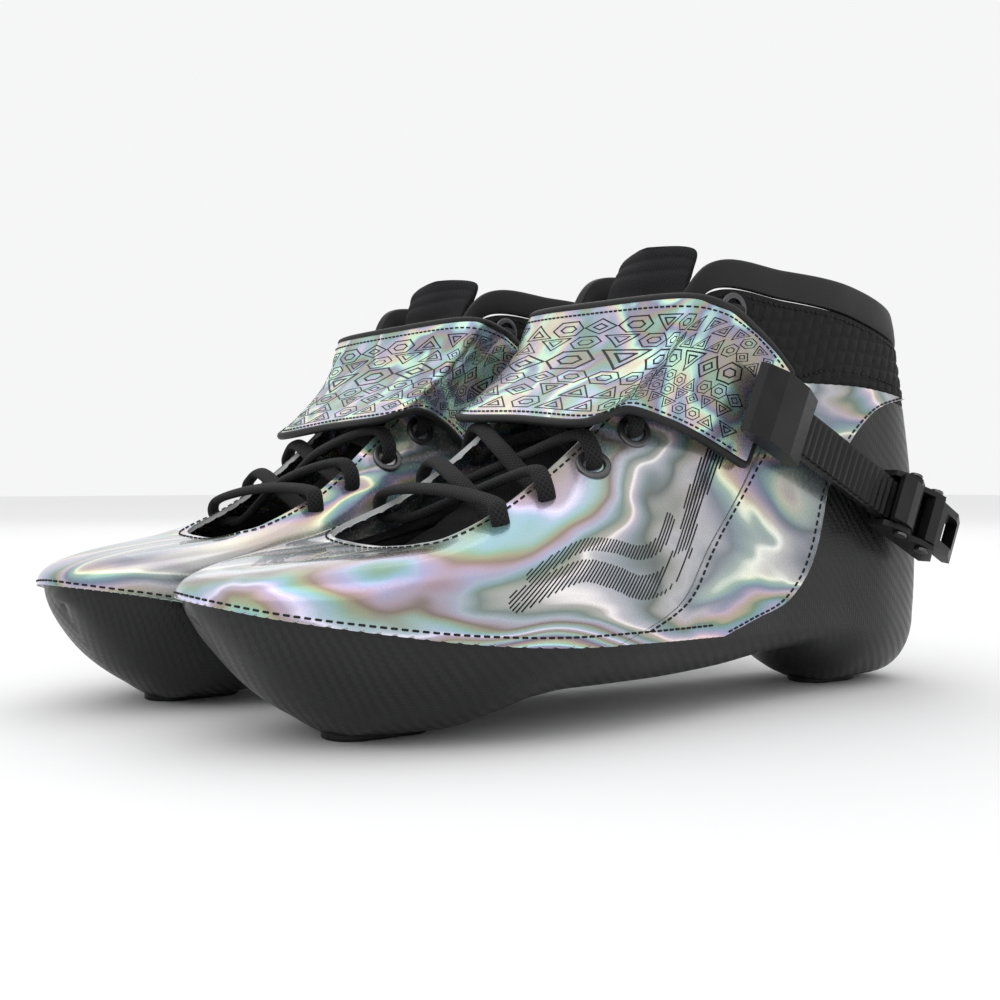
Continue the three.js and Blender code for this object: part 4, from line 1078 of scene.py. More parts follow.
@dataclass
class SideGraphic:
    """A printed ribbon of slanted hatch lines that waves along the side of the upper."""

    sign: float
    spacing: float = 1.15
    line: float = 0.5
    slant: float = math.radians(52)
    stroke: tuple = (
        ((4.45, 0.2), (4.8, 0.27), (5.15, 0.3), (5.5, 0.25), (5.85, 0.19), (6.2, 0.2), (6.55, 0.3),
         (6.85, 0.43), (7.3, 0.52), (7.75, 0.56)),
        ((4.55, 0.32), (4.85, 0.39), (5.15, 0.42), (5.5, 0.38), (5.85, 0.32), (6.15, 0.33), (6.4, 0.41)))
    half_widths: tuple = (3.4, 2.2)

    def chart_of(self) -> tuple:
        """Scales of the flat chart: millimetres along for a station, and up for a height."""
        s = np.linspace(3.5, 9, 240)
        line = LAST.at(s, np.full_like(s, 0.35), PANEL_HIGH)
        x = distances(line)
        v = np.linspace(0, 0.9, 60)
        column = LAST.at(s[:, None], v[None], PANEL_HIGH)
        height = np.linalg.norm(np.diff(column, axis=1), axis=-1).sum(1) / 0.9
        return s, x, height

    def solid(self) -> Solid:
        """Thin raised lines: each hatch line is kept where it is within a stroke's half width."""
        stations, x_of, height = self.chart_of()
        strokes = []
        for path, half in zip(self.stroke, self.half_widths):
            s, v = open_spline(np.array([(*p, 0.0) for p in path]), 160)[:, :2].T
            x = np.interp(s, stations, x_of)
            strokes.append((np.stack([x, v * np.interp(s, stations, height)], -1), half))
        ahead = np.array([math.cos(self.slant), math.sin(self.slant)])
        across = np.array([-ahead[1], ahead[0]])
        offsets = np.arange(-140, 140, self.spacing)
        t = np.arange(-60, 220, 0.3)
        place = offsets[:, None, None] * across + t[None, :, None] * ahead
        inside = np.zeros(place.shape[:2], bool)
        for path, half in strokes:
            low, high = path.min(0) - half, path.max(0) + half
            near = np.all((place > low) & (place < high), axis=-1)
            spots = place[near]
            gap = np.sqrt(((spots[:, None] - path[None]) ** 2).sum(-1).min(1))
            inside[near] |= gap < half
        padded = np.pad(inside, ((0, 0), (1, 1)))
        rise = np.argwhere(~padded[:, :-1] & padded[:, 1:])
        fall = np.argwhere(padded[:, :-1] & ~padded[:, 1:])
        keep = fall[:, 1] - rise[:, 1] >= 3
        rise, fall = rise[keep], fall[keep]
        share = np.linspace(0, 1, 5)
        start, end = t[rise[:, 1]], t[fall[:, 1] - 1]
        run = start[:, None] + (end - start)[:, None] * share
        centre = offsets[rise[:, 0]][:, None, None] * across + run[..., None] * ahead
        sides = np.stack([centre - across * self.line / 2, centre + across * self.line / 2], 2)
        s = np.interp(sides[..., 0], x_of, stations)
        v = sides[..., 1] / np.interp(s, stations, height)
        top = LAST.at(self.sign * s, v, PANEL_HIGH + 0.09)
        low = LAST.at(self.sign * s, v, PANEL_HIGH - 0.05)
        return bars(top, low)


@dataclass
class AnkleCollar:
    """The quilted cuff, its smooth top band, the lining inside and the pull tab at the heel."""

    cell: float = 5.6
    puff: float = 0.75
    columns: int = 420
    rows: int = 52

    def stations(self, a: np.ndarray) -> np.ndarray:
        """Stations round the back of the boot for a from 0 to 1."""
        return CUFF_FRONT + (STATIONS - 2 * CUFF_FRONT) * a

    def build(self, shop: Workshop) -> None:
        """Builds the cuff, band, lining, seams and pull tab."""
        self.cuff(shop)
        self.band(shop)
        self.liner(shop)
        self.seams(shop)
        self.tab(shop)

    def low(self, s: np.ndarray) -> np.ndarray:
        """Height of the cuff's lower edge, which is hidden under the foil."""
        s = side_station(s)
        table = ((CUFF_FRONT, 0.74), (8.2, 0.66), (9, 0.645), (9.7, 0.68), (12, 0.67))
        return smooth_table(table, s)

    def cuff(self, shop: Workshop) -> None:
        """Quilted cloth: rhombic cells puffed by the product of two slanted sine ridges."""
        a, b = grid(self.columns, self.rows)
        s = self.stations(a)
        low, high = self.low(s), smooth_table(BAND_LOW, side_station(s)) - 0.003
        v = low + (high - low) * b
        flat = arc_chart(LAST.at(s, v, 0.0))
        x, y = flat[..., 0] - flat[..., 0].max() / 2, flat[..., 1]
        first = np.abs(np.sin(math.pi * (y + 0.08 * np.abs(x)) / (self.cell * 0.86)))
        second = np.abs(np.sin(math.pi * (np.abs(x) + 0.62 * y) / self.cell))
        cell = np.minimum(first, second) ** 0.55
        margin = np.clip(np.minimum(b * 9, (1 - b) * 9), 0, 1)
        height = self.puff * cell * margin - 0.35
        solid = skin_panel(s, v, np.full_like(s, -1.8), height)
        cuff = shop.make("quilted_cuff", solid, [shop.finishes.quilt])
        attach(cuff, shop.body())
        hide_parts(shop.name("ankle_cuff"))

    def rounded(self, s: np.ndarray, low: np.ndarray, high: np.ndarray, inside: float,
                outside: float, crown: float) -> np.ndarray:
        """Rings of a padded strip whose section is a rounded rectangle.

        Args:
            s: stations of the rings.
            low: height of the strip's lower edge at each ring.
            high: height of its upper edge.
            inside: offset of its inner face.
            outside: offset of its outer face.
            crown: how far the faces swell.

        Returns:
            Points of shape (rings, 28, 3) from a superellipse in height and offset.
        """
        angle = round_angles(28)
        across = signed_power(np.sin(angle), 0.35)
        up = signed_power(np.cos(angle), 0.28)
        middle, half = (inside + outside) / 2, (outside - inside) / 2
        offset = middle + (half + crown * (1 - up**2)) * across
        v = (low + high)[:, None] / 2 + (high - low)[:, None] / 2 * up[None]
        return LAST.at(s[:, None] + 0 * v, v, np.broadcast_to(offset, v.shape))

    def band(self, shop: Workshop) -> None:
        """Smooth rolled band round the top of the cuff."""
        s = self.stations(np.linspace(0, 1, 240))
        low = smooth_table(BAND_LOW, side_station(s)) + 0.002
        rings = self.rounded(s, low, np.full_like(s, 1.004), -2.5, 0.5, 0.35)
        band = shop.make("collar_band_roll", tube(rings, distances(rings[:, 0]), 36.0), [shop.finishes.band])
        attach(band, shop.body())
        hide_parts(shop.name("collar_band"))

    def liner(self, shop: Workshop) -> None:
        """Padded lining inside the boot, swollen at its upper edge."""
        columns = 200
        s = np.arange(columns) / columns * STATIONS
        top = smooth_table(LINER_TOP, side_station(s))
        rows = np.linspace(0, 1, 36)
        v = 0.1 + (top - 0.1)[:, None] * rows[None]
        ridge = 0.5 * np.abs(np.sin(rows * math.pi * 5)) ** 0.6
        swell = np.where(rows > 0.8, 0.5 * np.sin((rows - 0.8) / 0.2 * math.pi), 0.0)
        stations = np.repeat(s[:, None], len(rows), 1)
        outer = LAST.at(stations, v, np.full_like(v, -2.6))
        inner = LAST.at(stations, v, -5.3 - np.broadcast_to(ridge + swell, v.shape))
        solid = between(outer, inner, arc_chart(outer, wraps=True), wraps=True)
        liner = shop.make("padded_liner", solid, [shop.finishes.lining], bevel=0.8)
        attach(liner, shop.body())
        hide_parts(shop.name("liner"))

    def seams(self, shop: Workshop) -> None:
        """Sews the cuff's lower seam, the seam under the band and its two upright seams."""
        s = self.stations(np.linspace(0.045, 0.955, 400))
        top = smooth_table(BAND_LOW, side_station(s)) - 0.02
        runs = [stitch_run(s, top, 0.15)]
        back = np.linspace(8.75, STATIONS - 8.75, 300)
        low = smooth_table(QUILT_LOW, side_station(back)) + 0.012
        runs.append(stitch_run(back, low, 0.2))
        for sign in (1.0, -1.0):
            t = np.linspace(0, 1, 40)
            runs.append(stitch_run(sign * (8.47 + 0.26 * t), 0.77 + 0.13 * t, 0.25))
            runs.append(stitch_run(sign * (8.32 + 0.26 * t), 0.77 + 0.13 * t, 0.25))
        sewn = shop.make("cuff_stitching", Stitching(2.6, 1.9, 0.33).along(runs), [shop.finishes.thread])
        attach(sewn, shop.body())

    def tab(self, shop: Workshop) -> None:
        """Small folded webbing loop at the back of the heel."""
        a, b = grid(16, 14)
        s, v = 11.75 + 0.5 * a, 0.58 + 0.1 * b
        bulge = 1.4 * np.sin(b * math.pi) ** 0.8
        tab = shop.make("heel_pull_tab", skin_panel(s, v, 0.3 + bulge * 0.6, 1.7 + bulge),
                        [shop.finishes.webbing], bevel=0.3)
        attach(tab, shop.body())
        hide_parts(shop.name("pull_tab"))


@dataclass
class Eyelet:
    """One ring and the frame of the lace's turn through it."""

    row: int
    side: float
    s: float
    v: float
    edge_s: float
    edge_v: float
    over: float
    radius: float
    middle: float

    def axes(self) -> tuple:
        """Origin on the skin, direction towards the throat, across it, and out of the skin."""
        u = np.array(self.side * self.s / STATIONS)
        v = np.array(self.v)
        origin, out = LAST.skin(u, v), LAST.normal(u, v)
        towards = LAST.skin(np.array(self.side * self.edge_s / STATIONS), np.array(self.edge_v)) - origin
        inwards = unit(towards - out * (towards @ out))
        return origin, inwards, np.cross(out, inwards), out

    def turn(self) -> np.ndarray:
        """Points of the lace's half turn down through the ring, starting towards the throat."""
        origin, inwards, _, out = self.axes()
        angle = np.radians([90, 60, 30, 0, -30, -60, -90])
        x = self.radius * (1 - np.cos(angle)) - 0.5
        z = self.middle + self.radius * np.sin(angle)
        return origin + x[:, None] * inwards + z[:, None] * out

    def edge(self, height: float) -> np.ndarray:
        """Point at a height over the throat edge that the lace passes."""
        return LAST.at(np.array(self.side * self.edge_s), np.array(self.edge_v), np.array(height))

    def ring(self) -> Solid:
        """Turned metal ring: a rounded section carried round the hole."""
        origin, inwards, across, out = self.axes()
        seat = 0.35 if self.row == 6 else PANEL_HIGH + 0.25
        angle = round_angles(56)
        section = np.array([
            (5.5, -0.35), (5.5, 0.15), (5.25, 0.6), (4.85, 0.74), (4.4, 0.62), (4.0, 0.72), (3.6, 0.62),
            (3.3, 0.3), (3.25, -1.2), (3.55, -1.2)])
        radial = inwards * np.cos(angle)[:, None] + across * np.sin(angle)[:, None]
        rings = origin + radial[:, None] * section[None, :, :1] + out * (seat + section[None, :, 1:])
        along = angle * 4.5
        return tube(rings, along, 12.0, wraps=True)


@dataclass
class Lacing:
    """The tongue, the eyelets and one braided lace that runs through all twelve holes."""

    width: float = 5.6
    thickness: float = 3.1
    squareness: float = 0.85
    places: tuple = (
        (3.93, 0.84, 3.93, 0.985, 6, 4.4, 1.6), (4.7, 0.82, 4.7, 0.985, 6, 4.4, 1.6),
        (5.47, 0.82, 5.47, 0.985, 5.4, 4.4, 1.6), (6.23, 0.81, 6.23, 0.985, 6.8, 4.4, 1.6),
        (7, 0.8, 6.7, 0.985, 9.25, 3.6, 1.4), (8.26, 0.87, 7.4, 0.9, 8.7, 4.4, -0.4))
    cross_lift: float = 2.9
    cross_lift_under_strap: float = -1.1
    cross_gap: float = 2.4
    ringed: tuple = (3, 4, 6)

    def eyelets(self) -> list:
        """All twelve eyelets."""
        return [Eyelet(k + 1, side, *place) for side in (1.0, -1.0) for k, place in enumerate(self.places)]

    def strand(self, first: float) -> tuple:
        """Control points of one half of the lace, and which of them are crossings.

        Args:
            first: side of its first eyelet, 1 outer or -1 inner.

        Returns:
            The points, and for each a marker that is 1 at a crossing and 0 elsewhere, with the
            station of the crossing.
        """
        points, marks = [], []
        for k in range(6):
            side = (-1 if k % 2 else 1) * first
            here = next(e for e in self.eyelets() if e.side == side and e.row == k + 1)
            turn = here.turn()
            points += list(turn)
            marks += [0.0] * len(turn)
            if k == 5:
                break
            then = next(e for e in self.eyelets() if e.side == -side and e.row == k + 2)
            leave, arrive = here.edge(-4.9), then.edge(then.over)
            rise = self.cross_lift if k < 2 else self.cross_lift_under_strap
            lift = throat_lift(np.array(here.s))
            cross = (leave + arrive) / 2 + lift * (rise + side * self.cross_gap)
            points += [leave, cross, arrive]
            marks += [0.0, here.s, 0.0]
        return points, marks

    def route(self) -> tuple:
        """The whole lace's control points and crossing marks, from top inner to top outer."""
        left, left_marks = self.strand(1.0)
        right, right_marks = self.strand(-1.0)
        bar = (left[0] + right[0]) / 2 + np.array([0.0, 0.0, 3.0])
        points = np.array([*left[::-1], bar, *right])
        return points, np.array([*left_marks[::-1], 3.6, *right_marks])

    def centreline(self, count: int = 1100) -> tuple:
        """Smooth centreline and, at each crossing, its index and the throat's direction there."""
        points, marks = self.route()
        length = np.concatenate([[0], np.cumsum(np.sqrt(np.linalg.norm(np.diff(points, axis=0), axis=-1)))])
        fine = np.linspace(0, length[-1], count)
        line = np.stack([hermite(length, row, np.gradient(row, length), fine) for row in points.T], -1)
        knots = np.flatnonzero(marks > 0)
        index = np.searchsorted(fine, length[knots])
        return line, index, throat_lift(marks[knots])

    def section_frames(self, line: np.ndarray, index: np.ndarray, lift: np.ndarray) -> tuple:
        """Directions across and out of the lace along its centreline.

        Args:
            line: centreline points.
            index: places of the crossings.
            lift: direction that the flat side faces at each crossing.

        Returns:
            Arrays across and out: a frame carried without twist, then turned gradually so that it
            faces the lift at each crossing.
        """
        ahead = unit(np.gradient(line, axis=0))
        out = np.zeros_like(line)
        out[0] = unit(np.cross(ahead[0], [1.0, 0.3, 0.2]))
        for i in range(1, len(line)):
            out[i] = unit(out[i - 1] - ahead[i] * (out[i - 1] @ ahead[i]))
        across = np.cross(ahead, out)
        wanted = lift - ahead[index] * np.sum(lift * ahead[index], -1, keepdims=True)
        angle = np.arctan2(np.sum(wanted * across[index], -1), np.sum(wanted * out[index], -1))
        angle = np.unwrap(angle, period=math.pi)
        turn = np.interp(np.arange(len(line)), index, angle)[:, None]
        return across * np.cos(turn) - out * np.sin(turn), out * np.cos(turn) + across * np.sin(turn)

    def build(self, shop: Workshop) -> None:
        """Builds the tongue, rings and lace."""
        self.tongue(shop)
        for eyelet in self.eyelets():
            if eyelet.row in self.ringed:
                label = "outer" if eyelet.side > 0 else "inner"
                ring = shop.make(f"ring_{label}_{eyelet.row}", eyelet.ring(), [shop.finishes.steel])
                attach(ring, shop.body())
                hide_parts(shop.name(f"eyelet_{label}_{eyelet.row}"))
        line, index, lift = self.centreline()
        across, out = self.section_frames(line, index, lift)
        angle = round_angles(20)
        wide = signed_power(np.cos(angle), self.squareness) * self.width / 2
        thick = signed_power(np.sin(angle), self.squareness) * self.thickness / 2
        along = distances(line)
        rings = line[:, None] + across[:, None] * wide[None, :, None] + out[:, None] * thick[None, :, None]
        lace = shop.make("braided_lace", tube(rings, along, 13.0), [shop.finishes.cord])
        LOG.info("%s is %.0f mm long", lace.name, along[-1])
        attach(lace, shop.body())
        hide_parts(shop.name("lace"))

    def tongue(self, shop: Workshop) -> None:
        """Padded tongue under the lace: a domed sheet whose free end stands over the strap."""
        depth, reach_in, padding, tip_rows = 12.8, 0.05, 3.0, 16
        s = np.linspace(2.2, 7.9, 90)
        columns = 48
        dome = smooth_table(((2.2, 2), (4.2, 2), (5, -1.5), (7.4, -2), (7.9, 1)), s)[:, None]

        def surface(extra: float) -> np.ndarray:
            """One face of the tongue, lowered by extra."""
            u, one = s / STATIONS, np.ones_like(s)
            d = depth + extra
            outer, inner = LAST.at(s, one, -d * one), LAST.at(-s, one, -d * one)
            far_out = LAST.at(s, one - reach_in, -(d + 0.6) * one)
            far_in = LAST.at(-s, one - reach_in, -(d + 0.6) * one)
            centre = (outer + inner) / 2 + throat_lift(s) * dome
            body = open_spline(np.stack([far_in, inner, centre, outer, far_out], 1), columns)
            ahead = unit(body[-1] - body[-2])
            middle = 1 - np.abs(2 * np.arange(columns) / (columns - 1) - 1)
            steps = np.linspace(0.6, 11.5, tip_rows)[:, None, None]
            round_end = (0.55 + 0.45 * np.sqrt(middle))[None, :, None]
            tip = body[-1][None] + ahead[None] * steps * round_end
            return np.concatenate([body, tip])

        top = surface(0.0)
        t = np.linspace(0, 1, len(top))[:, None]
        cross = np.linspace(-1, 1, columns)[None]
        channel = np.abs(np.sin(t * math.pi * 17)) ** 0.5 * (1 - cross**4)
        normal = throat_lift(np.concatenate([s, np.full(tip_rows, s[-1])]))
        top = top + normal[:, None] * (0.7 * channel)[..., None]
        solid = between(top, surface(padding), arc_chart(top))
        tongue = shop.make("padded_tongue", solid, [shop.finishes.lining, shop.finishes.binding], bevel=0.7)
        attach(tongue, shop.body())
        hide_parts(shop.name("tongue"))


@dataclass
class InstepStrap:
    """The wide foil strap over the instep: bound edges, stitching and an outlined pattern."""

    thickness: float = 2.2
    lift: float = 2.35
    crown: tuple = (0.5, 2.5)
    inner_side: tuple = (
        ((-7.4, 0.42, 0), (-8.9, 0.52, 0)), ((-7.0, 0.6, 1), (-8.7, 0.68, 0.5)),
        ((-6.48, 0.77, 4.4), (-8.25, 0.81, 3)), ((-6.0, 0.9, 7.5), (-7.9, 0.88, 8.2)),
        ((-5.45, 0.985, 6.8), (-7.5, 0.98, 9.6)))
    outer_side: tuple = (
        ((5.45, 0.985, 6.3), (7.5, 0.98, 8.2)), ((6.0, 0.9, 6.8), (7.9, 0.88, 7)),
        ((6.48, 0.77, 4.4), (8.25, 0.81, 3)), ((7.1, 0.63, 1), (8.52, 0.76, 0.8)),
        ((7.72, 0.47, 0), (8.72, 0.7, 0)))

    def surface(self, t: np.ndarray, b: np.ndarray, extra: float) -> np.ndarray:
        """Points of the strap.

        Args:
            t: 0 to 1 along the strap from its inner end.
            b: 0 to 1 from its front edge to its rear edge.
            extra: distance over its underside.

        Returns:
            Points on open Catmull-Rom curves through rows of the skin, lifted over the lace.
        """
        rows = b[0] if b.ndim > 1 else b
        mix = lambda pair: np.array(pair[0], float)[None] + (
            np.array(pair[1], float) - np.array(pair[0], float))[None] * rows[:, None]
        knots = []
        for pair in [*self.inner_side, *self.outer_side]:
            s, v, lifted = mix(pair).T
            clear = PANEL_HIGH + self.lift + lifted
            knots.append(LAST.at(s, v, clear + extra))
        middle = len(self.inner_side)
        ridge = (knots[middle - 1] + knots[middle]) / 2
        front, rear = self.outer_side[0][0][0], self.outer_side[0][1][0]
        crown = self.crown[0] + (self.crown[1] - self.crown[0]) * rows
        knots.insert(middle, ridge + throat_lift(front + (rear - front) * rows) * crown[:, None])
        curve = open_spline(np.stack(knots, 1), 401)
        index = np.linspace(0, 1, 401)
        place = t[:, 0] if t.ndim > 1 else t
        return np.stack([np.stack([np.interp(place, index, curve[r, :, k]) for k in range(3)], -1)
                         for r in range(len(rows))], 1)

    def build(self, shop: Workshop) -> None:
        """Builds the strap, binding, stitches and pattern."""
        t, b = grid(150, 34)
        top, under = self.surface(t, b, self.thickness), self.surface(t, b, 0.0)
        solid = between(top, under, arc_chart(top))
        look = [shop.finishes.strap_foil, shop.finishes.binding]
        strap = shop.make("strap_foil_band", solid, look, bevel=0.5)
        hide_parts(shop.name("instep_strap"))
        pieces = [strap, self.binding(shop), self.stitches(shop), self.pattern(shop)]
        start = shop.placement.world(LAST.at(np.array(-7.5), np.array(0.55), np.array(0.0)))[0]
        end = shop.placement.world(LAST.at(np.array(7.3), np.array(0.8), np.array(0.0)))[0]
        for piece, slot in zip(pieces, ("foil", "fabric", "cord", "foil")):
            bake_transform(piece)

    def binding(self, shop: Workshop) -> bpy.types.Object:
        """Black bound edge all round the strap."""
        count = 180
        line = np.linspace(0, 1, count)
        cross = np.linspace(0, 1, 40)
        sides = [self.surface(line, np.array([0.0]), self.thickness / 2)[:, 0],
                 self.surface(np.array([1.0]), cross, self.thickness / 2)[0][1:],
                 self.surface(line[::-1], np.array([1.0]), self.thickness / 2)[:, 0][1:],
                 self.surface(np.array([0.0]), cross[::-1], self.thickness / 2)[0][1:-1]]
        path = np.concatenate(sides)
        for _ in range(3):
            path = (np.roll(path, 1, 0) + 2 * path + np.roll(path, -1, 0)) / 4
        ahead = unit(np.roll(path, -1, 0) - np.roll(path, 1, 0))
        centre = path.mean(0)
        level = unit(np.cross(ahead, unit(path - centre - np.array([0.0, 0.0, -60.0]))))
        out = np.cross(level, ahead)
        angle = round_angles(12)
        radius = self.thickness / 2 + 0.35
        rings = path[:, None] + radius * (level[:, None] * np.cos(angle)[None, :, None]
                                          + out[:, None] * np.sin(angle)[None, :, None])
        solid = tube(rings, distances(path), 9.0, wraps=True)
        return shop.make("strap_binding", solid, [shop.finishes.binding])

    def stitches(self, shop: Workshop) -> bpy.types.Object:
        """Thread just inside the binding of both long edges."""
        line = np.linspace(0.02, 0.97, 260)
        runs = []
        for row in (0.055, 0.945):
            here = self.surface(line, np.array([row]), self.thickness)[:, 0]
            above = self.surface(line, np.array([row]), self.thickness + 1)[:, 0]
            normal = unit(above - here)
            runs.append((here + normal * 0.1, normal))
        return shop.make("strap_stitching", Stitching(2.4, 1.8, 0.3).along(runs), [shop.finishes.thread])

    def glyphs(self) -> list:
        """Outlines of the pattern's plain shapes in a unit cell, each a closed line."""
        points = lambda *pairs: np.array(pairs, float)
        lozenge = [points((0.5, 0.06), (0.96, 0.5), (0.5, 0.94), (0.04, 0.5)),
                   points((0.5, 0.32), (0.7, 0.5), (0.5, 0.68), (0.3, 0.5))]
        hexagon = [points((0.25, 0.08), (0.75, 0.08), (0.98, 0.5), (0.75, 0.92), (0.25, 0.92), (0.02, 0.5)),
                   points((0.38, 0.32), (0.62, 0.32), (0.74, 0.5), (0.62, 0.68), (0.38, 0.68), (0.26, 0.5))]
        triangle = [points((0.04, 0.08), (0.96, 0.08), (0.5, 0.92)),
                    points((0.3, 0.24), (0.7, 0.24), (0.5, 0.6))]
        return [lozenge, hexagon, triangle]

    def pattern(self, shop: Workshop) -> bpy.types.Object:
        """Rows of outlined shapes, small over the whole strap and one larger row in the middle."""
        t, b = np.linspace(0, 1, 401), np.linspace(0, 1, 41)
        top = self.surface(t, b, self.thickness + 0.1)
        low = self.surface(t, b, self.thickness - 0.1)
        length = np.linalg.norm(np.diff(top[:, 20], axis=0), axis=-1).sum()
        width = np.linalg.norm(np.diff(top[200], axis=0), axis=-1).sum()
        draw = np.random.default_rng(7)
        shapes = self.glyphs()
        quads = []
        rows = [(0.09, 0.215), (0.215, 0.34), (0.34, 0.465), (0.465, 0.66), (0.66, 0.785), (0.785, 0.91)]
        for r, (y0, y1) in enumerate(rows):
            tall = (y1 - y0) * width
            cell = tall * 1.25 / length
            start = 0.02 + 0.35 * cell * (r % 3)
            for n in range(int((0.97 - start) / cell)):
                kind = shapes[int(draw.integers(len(shapes)))]
                flip = bool(draw.integers(2))
                x0 = start + n * cell
                for outline in kind:
                    o = outline.copy()
                    if flip:
                        o[:, 1] = 1 - o[:, 1]
                    spot = np.stack([(x0 + o[:, 0] * cell) * length, (y0 + o[:, 1] * (y1 - y0)) * width], -1)
                    quads.append(self.outline(spot, 0.38 if tall < 8 else 0.62))
        flat = np.concatenate(quads)
        keep = (flat[..., 0].min(1) > 2) & (flat[..., 0].max(1) < length * 0.985)
        flat = flat[keep]
        return shop.make("strap_print", self.raised(flat, top, low, length, width), [shop.finishes.print])

    def outline(self, spot: np.ndarray, line: float) -> np.ndarray:
        """Strips of a closed outline: quads of shape (n, 4, 2), each widened across its edge."""
        ahead = unit(np.roll(spot, -1, 0) - spot)
        across = np.stack([-ahead[:, 1], ahead[:, 0]], -1) * line / 2
        extra = ahead * line / 2
        after = np.roll(spot, -1, 0)
        return np.stack([spot - extra - across, after + extra - across, after + extra + across,
                         spot - extra + across], 1)

    def raised(self, flat: np.ndarray, top: np.ndarray, low: np.ndarray, length: float,
               width: float) -> Solid:
        """Closed plates over flat quads, read from the strap's upper and lower print surfaces."""
        share = np.linspace(0, 1, 4)[None, :, None]
        near = flat[:, None, 0] * (1 - share) + flat[:, None, 1] * share
        far = flat[:, None, 3] * (1 - share) + flat[:, None, 2] * share
        places = np.stack([near, far], 2)
        t = np.clip(places[..., 0] / length, 0, 1) * (len(top) - 1)
        b = np.clip(places[..., 1] / width, 0, 1) * (top.shape[1] - 1)
        read = lambda g: self.bilinear(g, t, b)
        return bars(read(top), read(low))

    def bilinear(self, surface: np.ndarray, t: np.ndarray, b: np.ndarray) -> np.ndarray:
        """Values of a grid at fractional rows and columns."""
        i, j = np.minimum(t.astype(int), len(surface) - 2), np.minimum(b.astype(int), surface.shape[1] - 2)
        p, q = (t - i)[..., None], (b - j)[..., None]
        return ((surface[i, j] * (1 - p) + surface[i + 1, j] * p) * (1 - q)
                + (surface[i, j + 1] * (1 - p) + surface[i + 1, j + 1] * p) * q)


@dataclass
class AnkleBuckle:
    """The moulded end cap, ladder, ratchet buckle and heel strap that pull the instep strap tight."""

    strap_thickness: float = 2.0

    def build(self, shop: Workshop) -> None:
        """Builds the hardware from its CAD solids and the heel strap as a smooth panel."""
        moulding, steel = shop.finishes.moulding, shop.finishes.steel
        rows = [("strap_end_cap", "strap", moulding, 1.3, "moulding"),
                ("ladder_strap", "strap", moulding, 0.28, "moulding"),
                ("buckle_frame", "boot", moulding, 0.6, "moulding"),
                ("buckle_lever", "lever", moulding, 0.9, "moulding"),
                ("release_tab", "release_tab", moulding, 0.8, "moulding"),
                ("lever_pin", "boot", steel, 0.3, "steel"),
                ("pawl_pin", "boot", steel, 0.3, "steel"),
                ("heel_screw", "boot", steel, 0.4, "steel")]
        for part, body, material, bevel, slot in rows:
            shop.moulded(part, body, material, bevel)
        a, b = grid(90, 14)
        s = 9.95 + 3.6 * a
        middle = smooth_table(((9.9, 0.4), (10.6, 0.32), (11.4, 0.29), (13.6, 0.3)), s)
        taper = np.sqrt(np.clip(1 - ((a - 0.5) * 2) ** 10, 0.15, 1))
        v = middle + 0.11 * (b - 0.5) * taper
        ridge = 0.35 * (np.abs(b - 0.5) > 0.34) * np.clip(np.minimum(a, 1 - a) * 30, 0, 1)
        panel = skin_panel(s, v, np.full_like(s, 0.3), 0.3 + self.strap_thickness - 0.35 + ridge)
        strap = shop.make("moulded_heel_strap", panel, [moulding], bevel=0.4)
        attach(strap, shop.body())
        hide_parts(shop.name("heel_strap"))


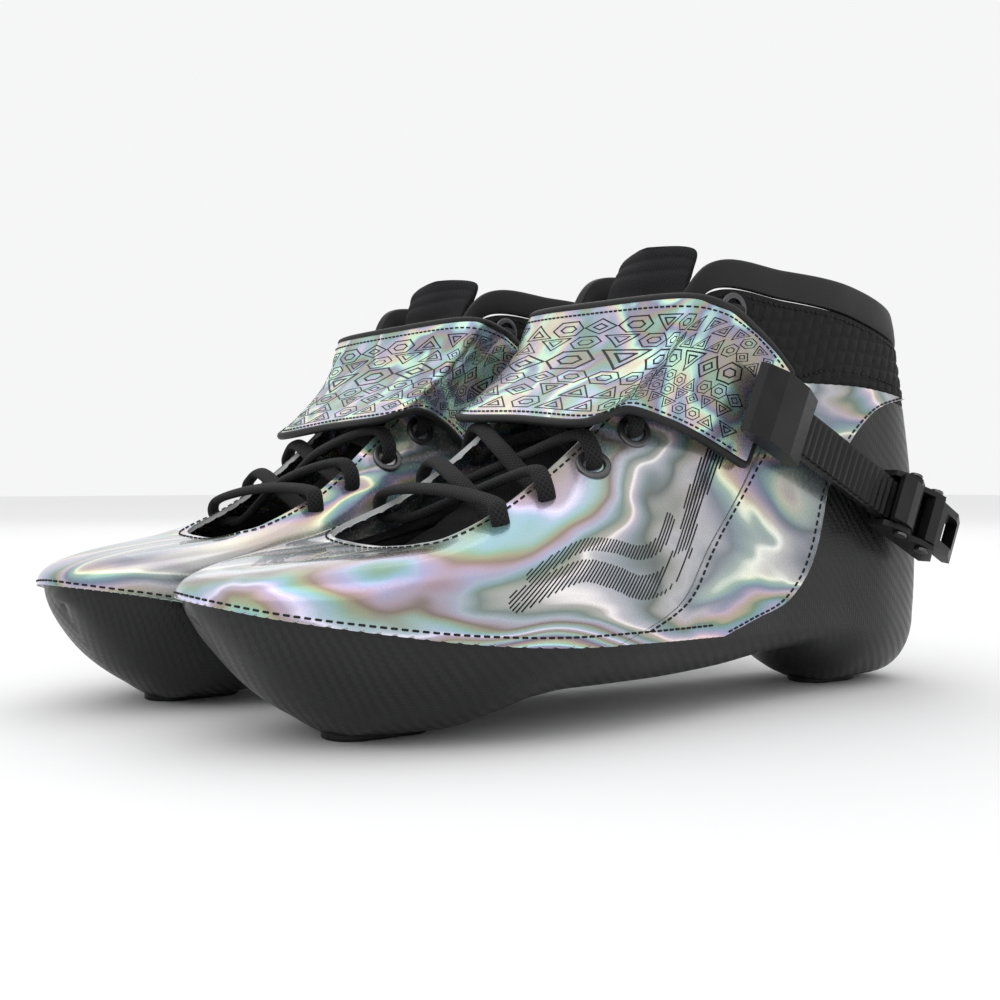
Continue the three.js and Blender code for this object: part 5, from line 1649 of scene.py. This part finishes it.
# ---- Studio -------------------------------------------------------------------------------------------
@dataclass
class Studio:
    """Pale floor, soft lights and the camera."""

    azimuth: float = 51.5
    elevation: float = 0.82
    distance: float = 0.5
    lens: float = 49.6
    aim: tuple = (-0.0010, 0.00046, 0.075)
    aim_right: float = 0.0009
    aim_down: float = 0.007
    floor_half: float = 6.0

    def build(self) -> None:
        """Makes the floor, lights and camera."""
        self.floor()
        self.light("key", (0.5, -0.9, 1.5), 1.6, 6.0)
        self.light("top", (0.0, 0.1, 1.7), 2.4, 7.0)
        self.light("rear", (-1.2, 0.9, 1.1), 1.4, 3.0)
        world = bpy.data.worlds.new("studio")
        world.use_nodes = True
        backdrop = world.node_tree.nodes["Background"].inputs
        backdrop["Color"].default_value = (0.92, 0.921, 0.925, 1.0)
        backdrop["Strength"].default_value = 1.0
        bpy.context.scene.world = world
        bpy.context.scene.view_settings.view_transform = "Standard"
        self.camera()

    def floor(self) -> None:
        """Large pale sheet under the pair."""
        mesh = bpy.data.meshes.new("studio_floor")
        half = self.floor_half
        spots = [(-half, -half, 0), (half, -half, 0), (half, half, 0), (-half, half, 0)]
        mesh.from_pydata(spots, [], [(0, 1, 2, 3)])
        floor = linked("studio_floor", mesh)
        m = Shader("studio_paper")
        mesh.materials.append(m.finish(Base_Color=(0.86, 0.86, 0.865), Roughness=0.9))

    def light(self, name: str, place: tuple, size: float, power: float) -> None:
        """One square soft light aimed at the pair."""
        lamp = bpy.data.lights.new(name, "AREA")
        lamp.size, lamp.energy = size, power
        made = linked(name, lamp)
        made.location = place
        made.rotation_euler = (Vector((0, 0, 0.06)) - Vector(place)).to_track_quat("-Z", "Y").to_euler()

    def camera(self) -> None:
        """Camera near the floor, in front of the left boot's outer side."""
        a, e = math.radians(self.azimuth), math.radians(self.elevation)
        back = Vector((math.sin(a) * math.cos(e), -math.cos(a) * math.cos(e), math.sin(e)))
        right = Vector((math.cos(a), math.sin(a), 0))
        up = Vector((-math.sin(a) * math.sin(e), math.cos(a) * math.sin(e), math.cos(e)))
        lens = bpy.data.cameras.new("camera")
        lens.lens, lens.sensor_width = self.lens, 36.0
        lens.clip_start, lens.clip_end = 0.01, 100.0
        made = linked("camera", lens)
        made.location = Vector(self.aim) + right * self.aim_right - up * self.aim_down + back * self.distance
        made.rotation_euler = (-back).to_track_quat("-Z", "Y").to_euler()
        bpy.context.scene.camera = made


def corners(box: tuple) -> list:
    """A box's two corners as plain lists of numbers."""
    return [[float(x) for x in corner] for corner in box]


def main() -> None:
    """Builds the studio and both boots."""
    logging.basicConfig(level=logging.INFO, format="%(name)s %(message)s")
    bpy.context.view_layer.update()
    Studio().build()
    finishes = Finishes()
    for side in Side:
        shop = Workshop(Placement(side), finishes)
        for part in (CarbonShell(), FoilUpper(), AnkleCollar(), Lacing(), InstepStrap(), AnkleBuckle()):
            part.build(shop)
            LOG.info("%s boot: %s done", side.label, type(part).__name__)


if __name__ == "__main__":
    main()
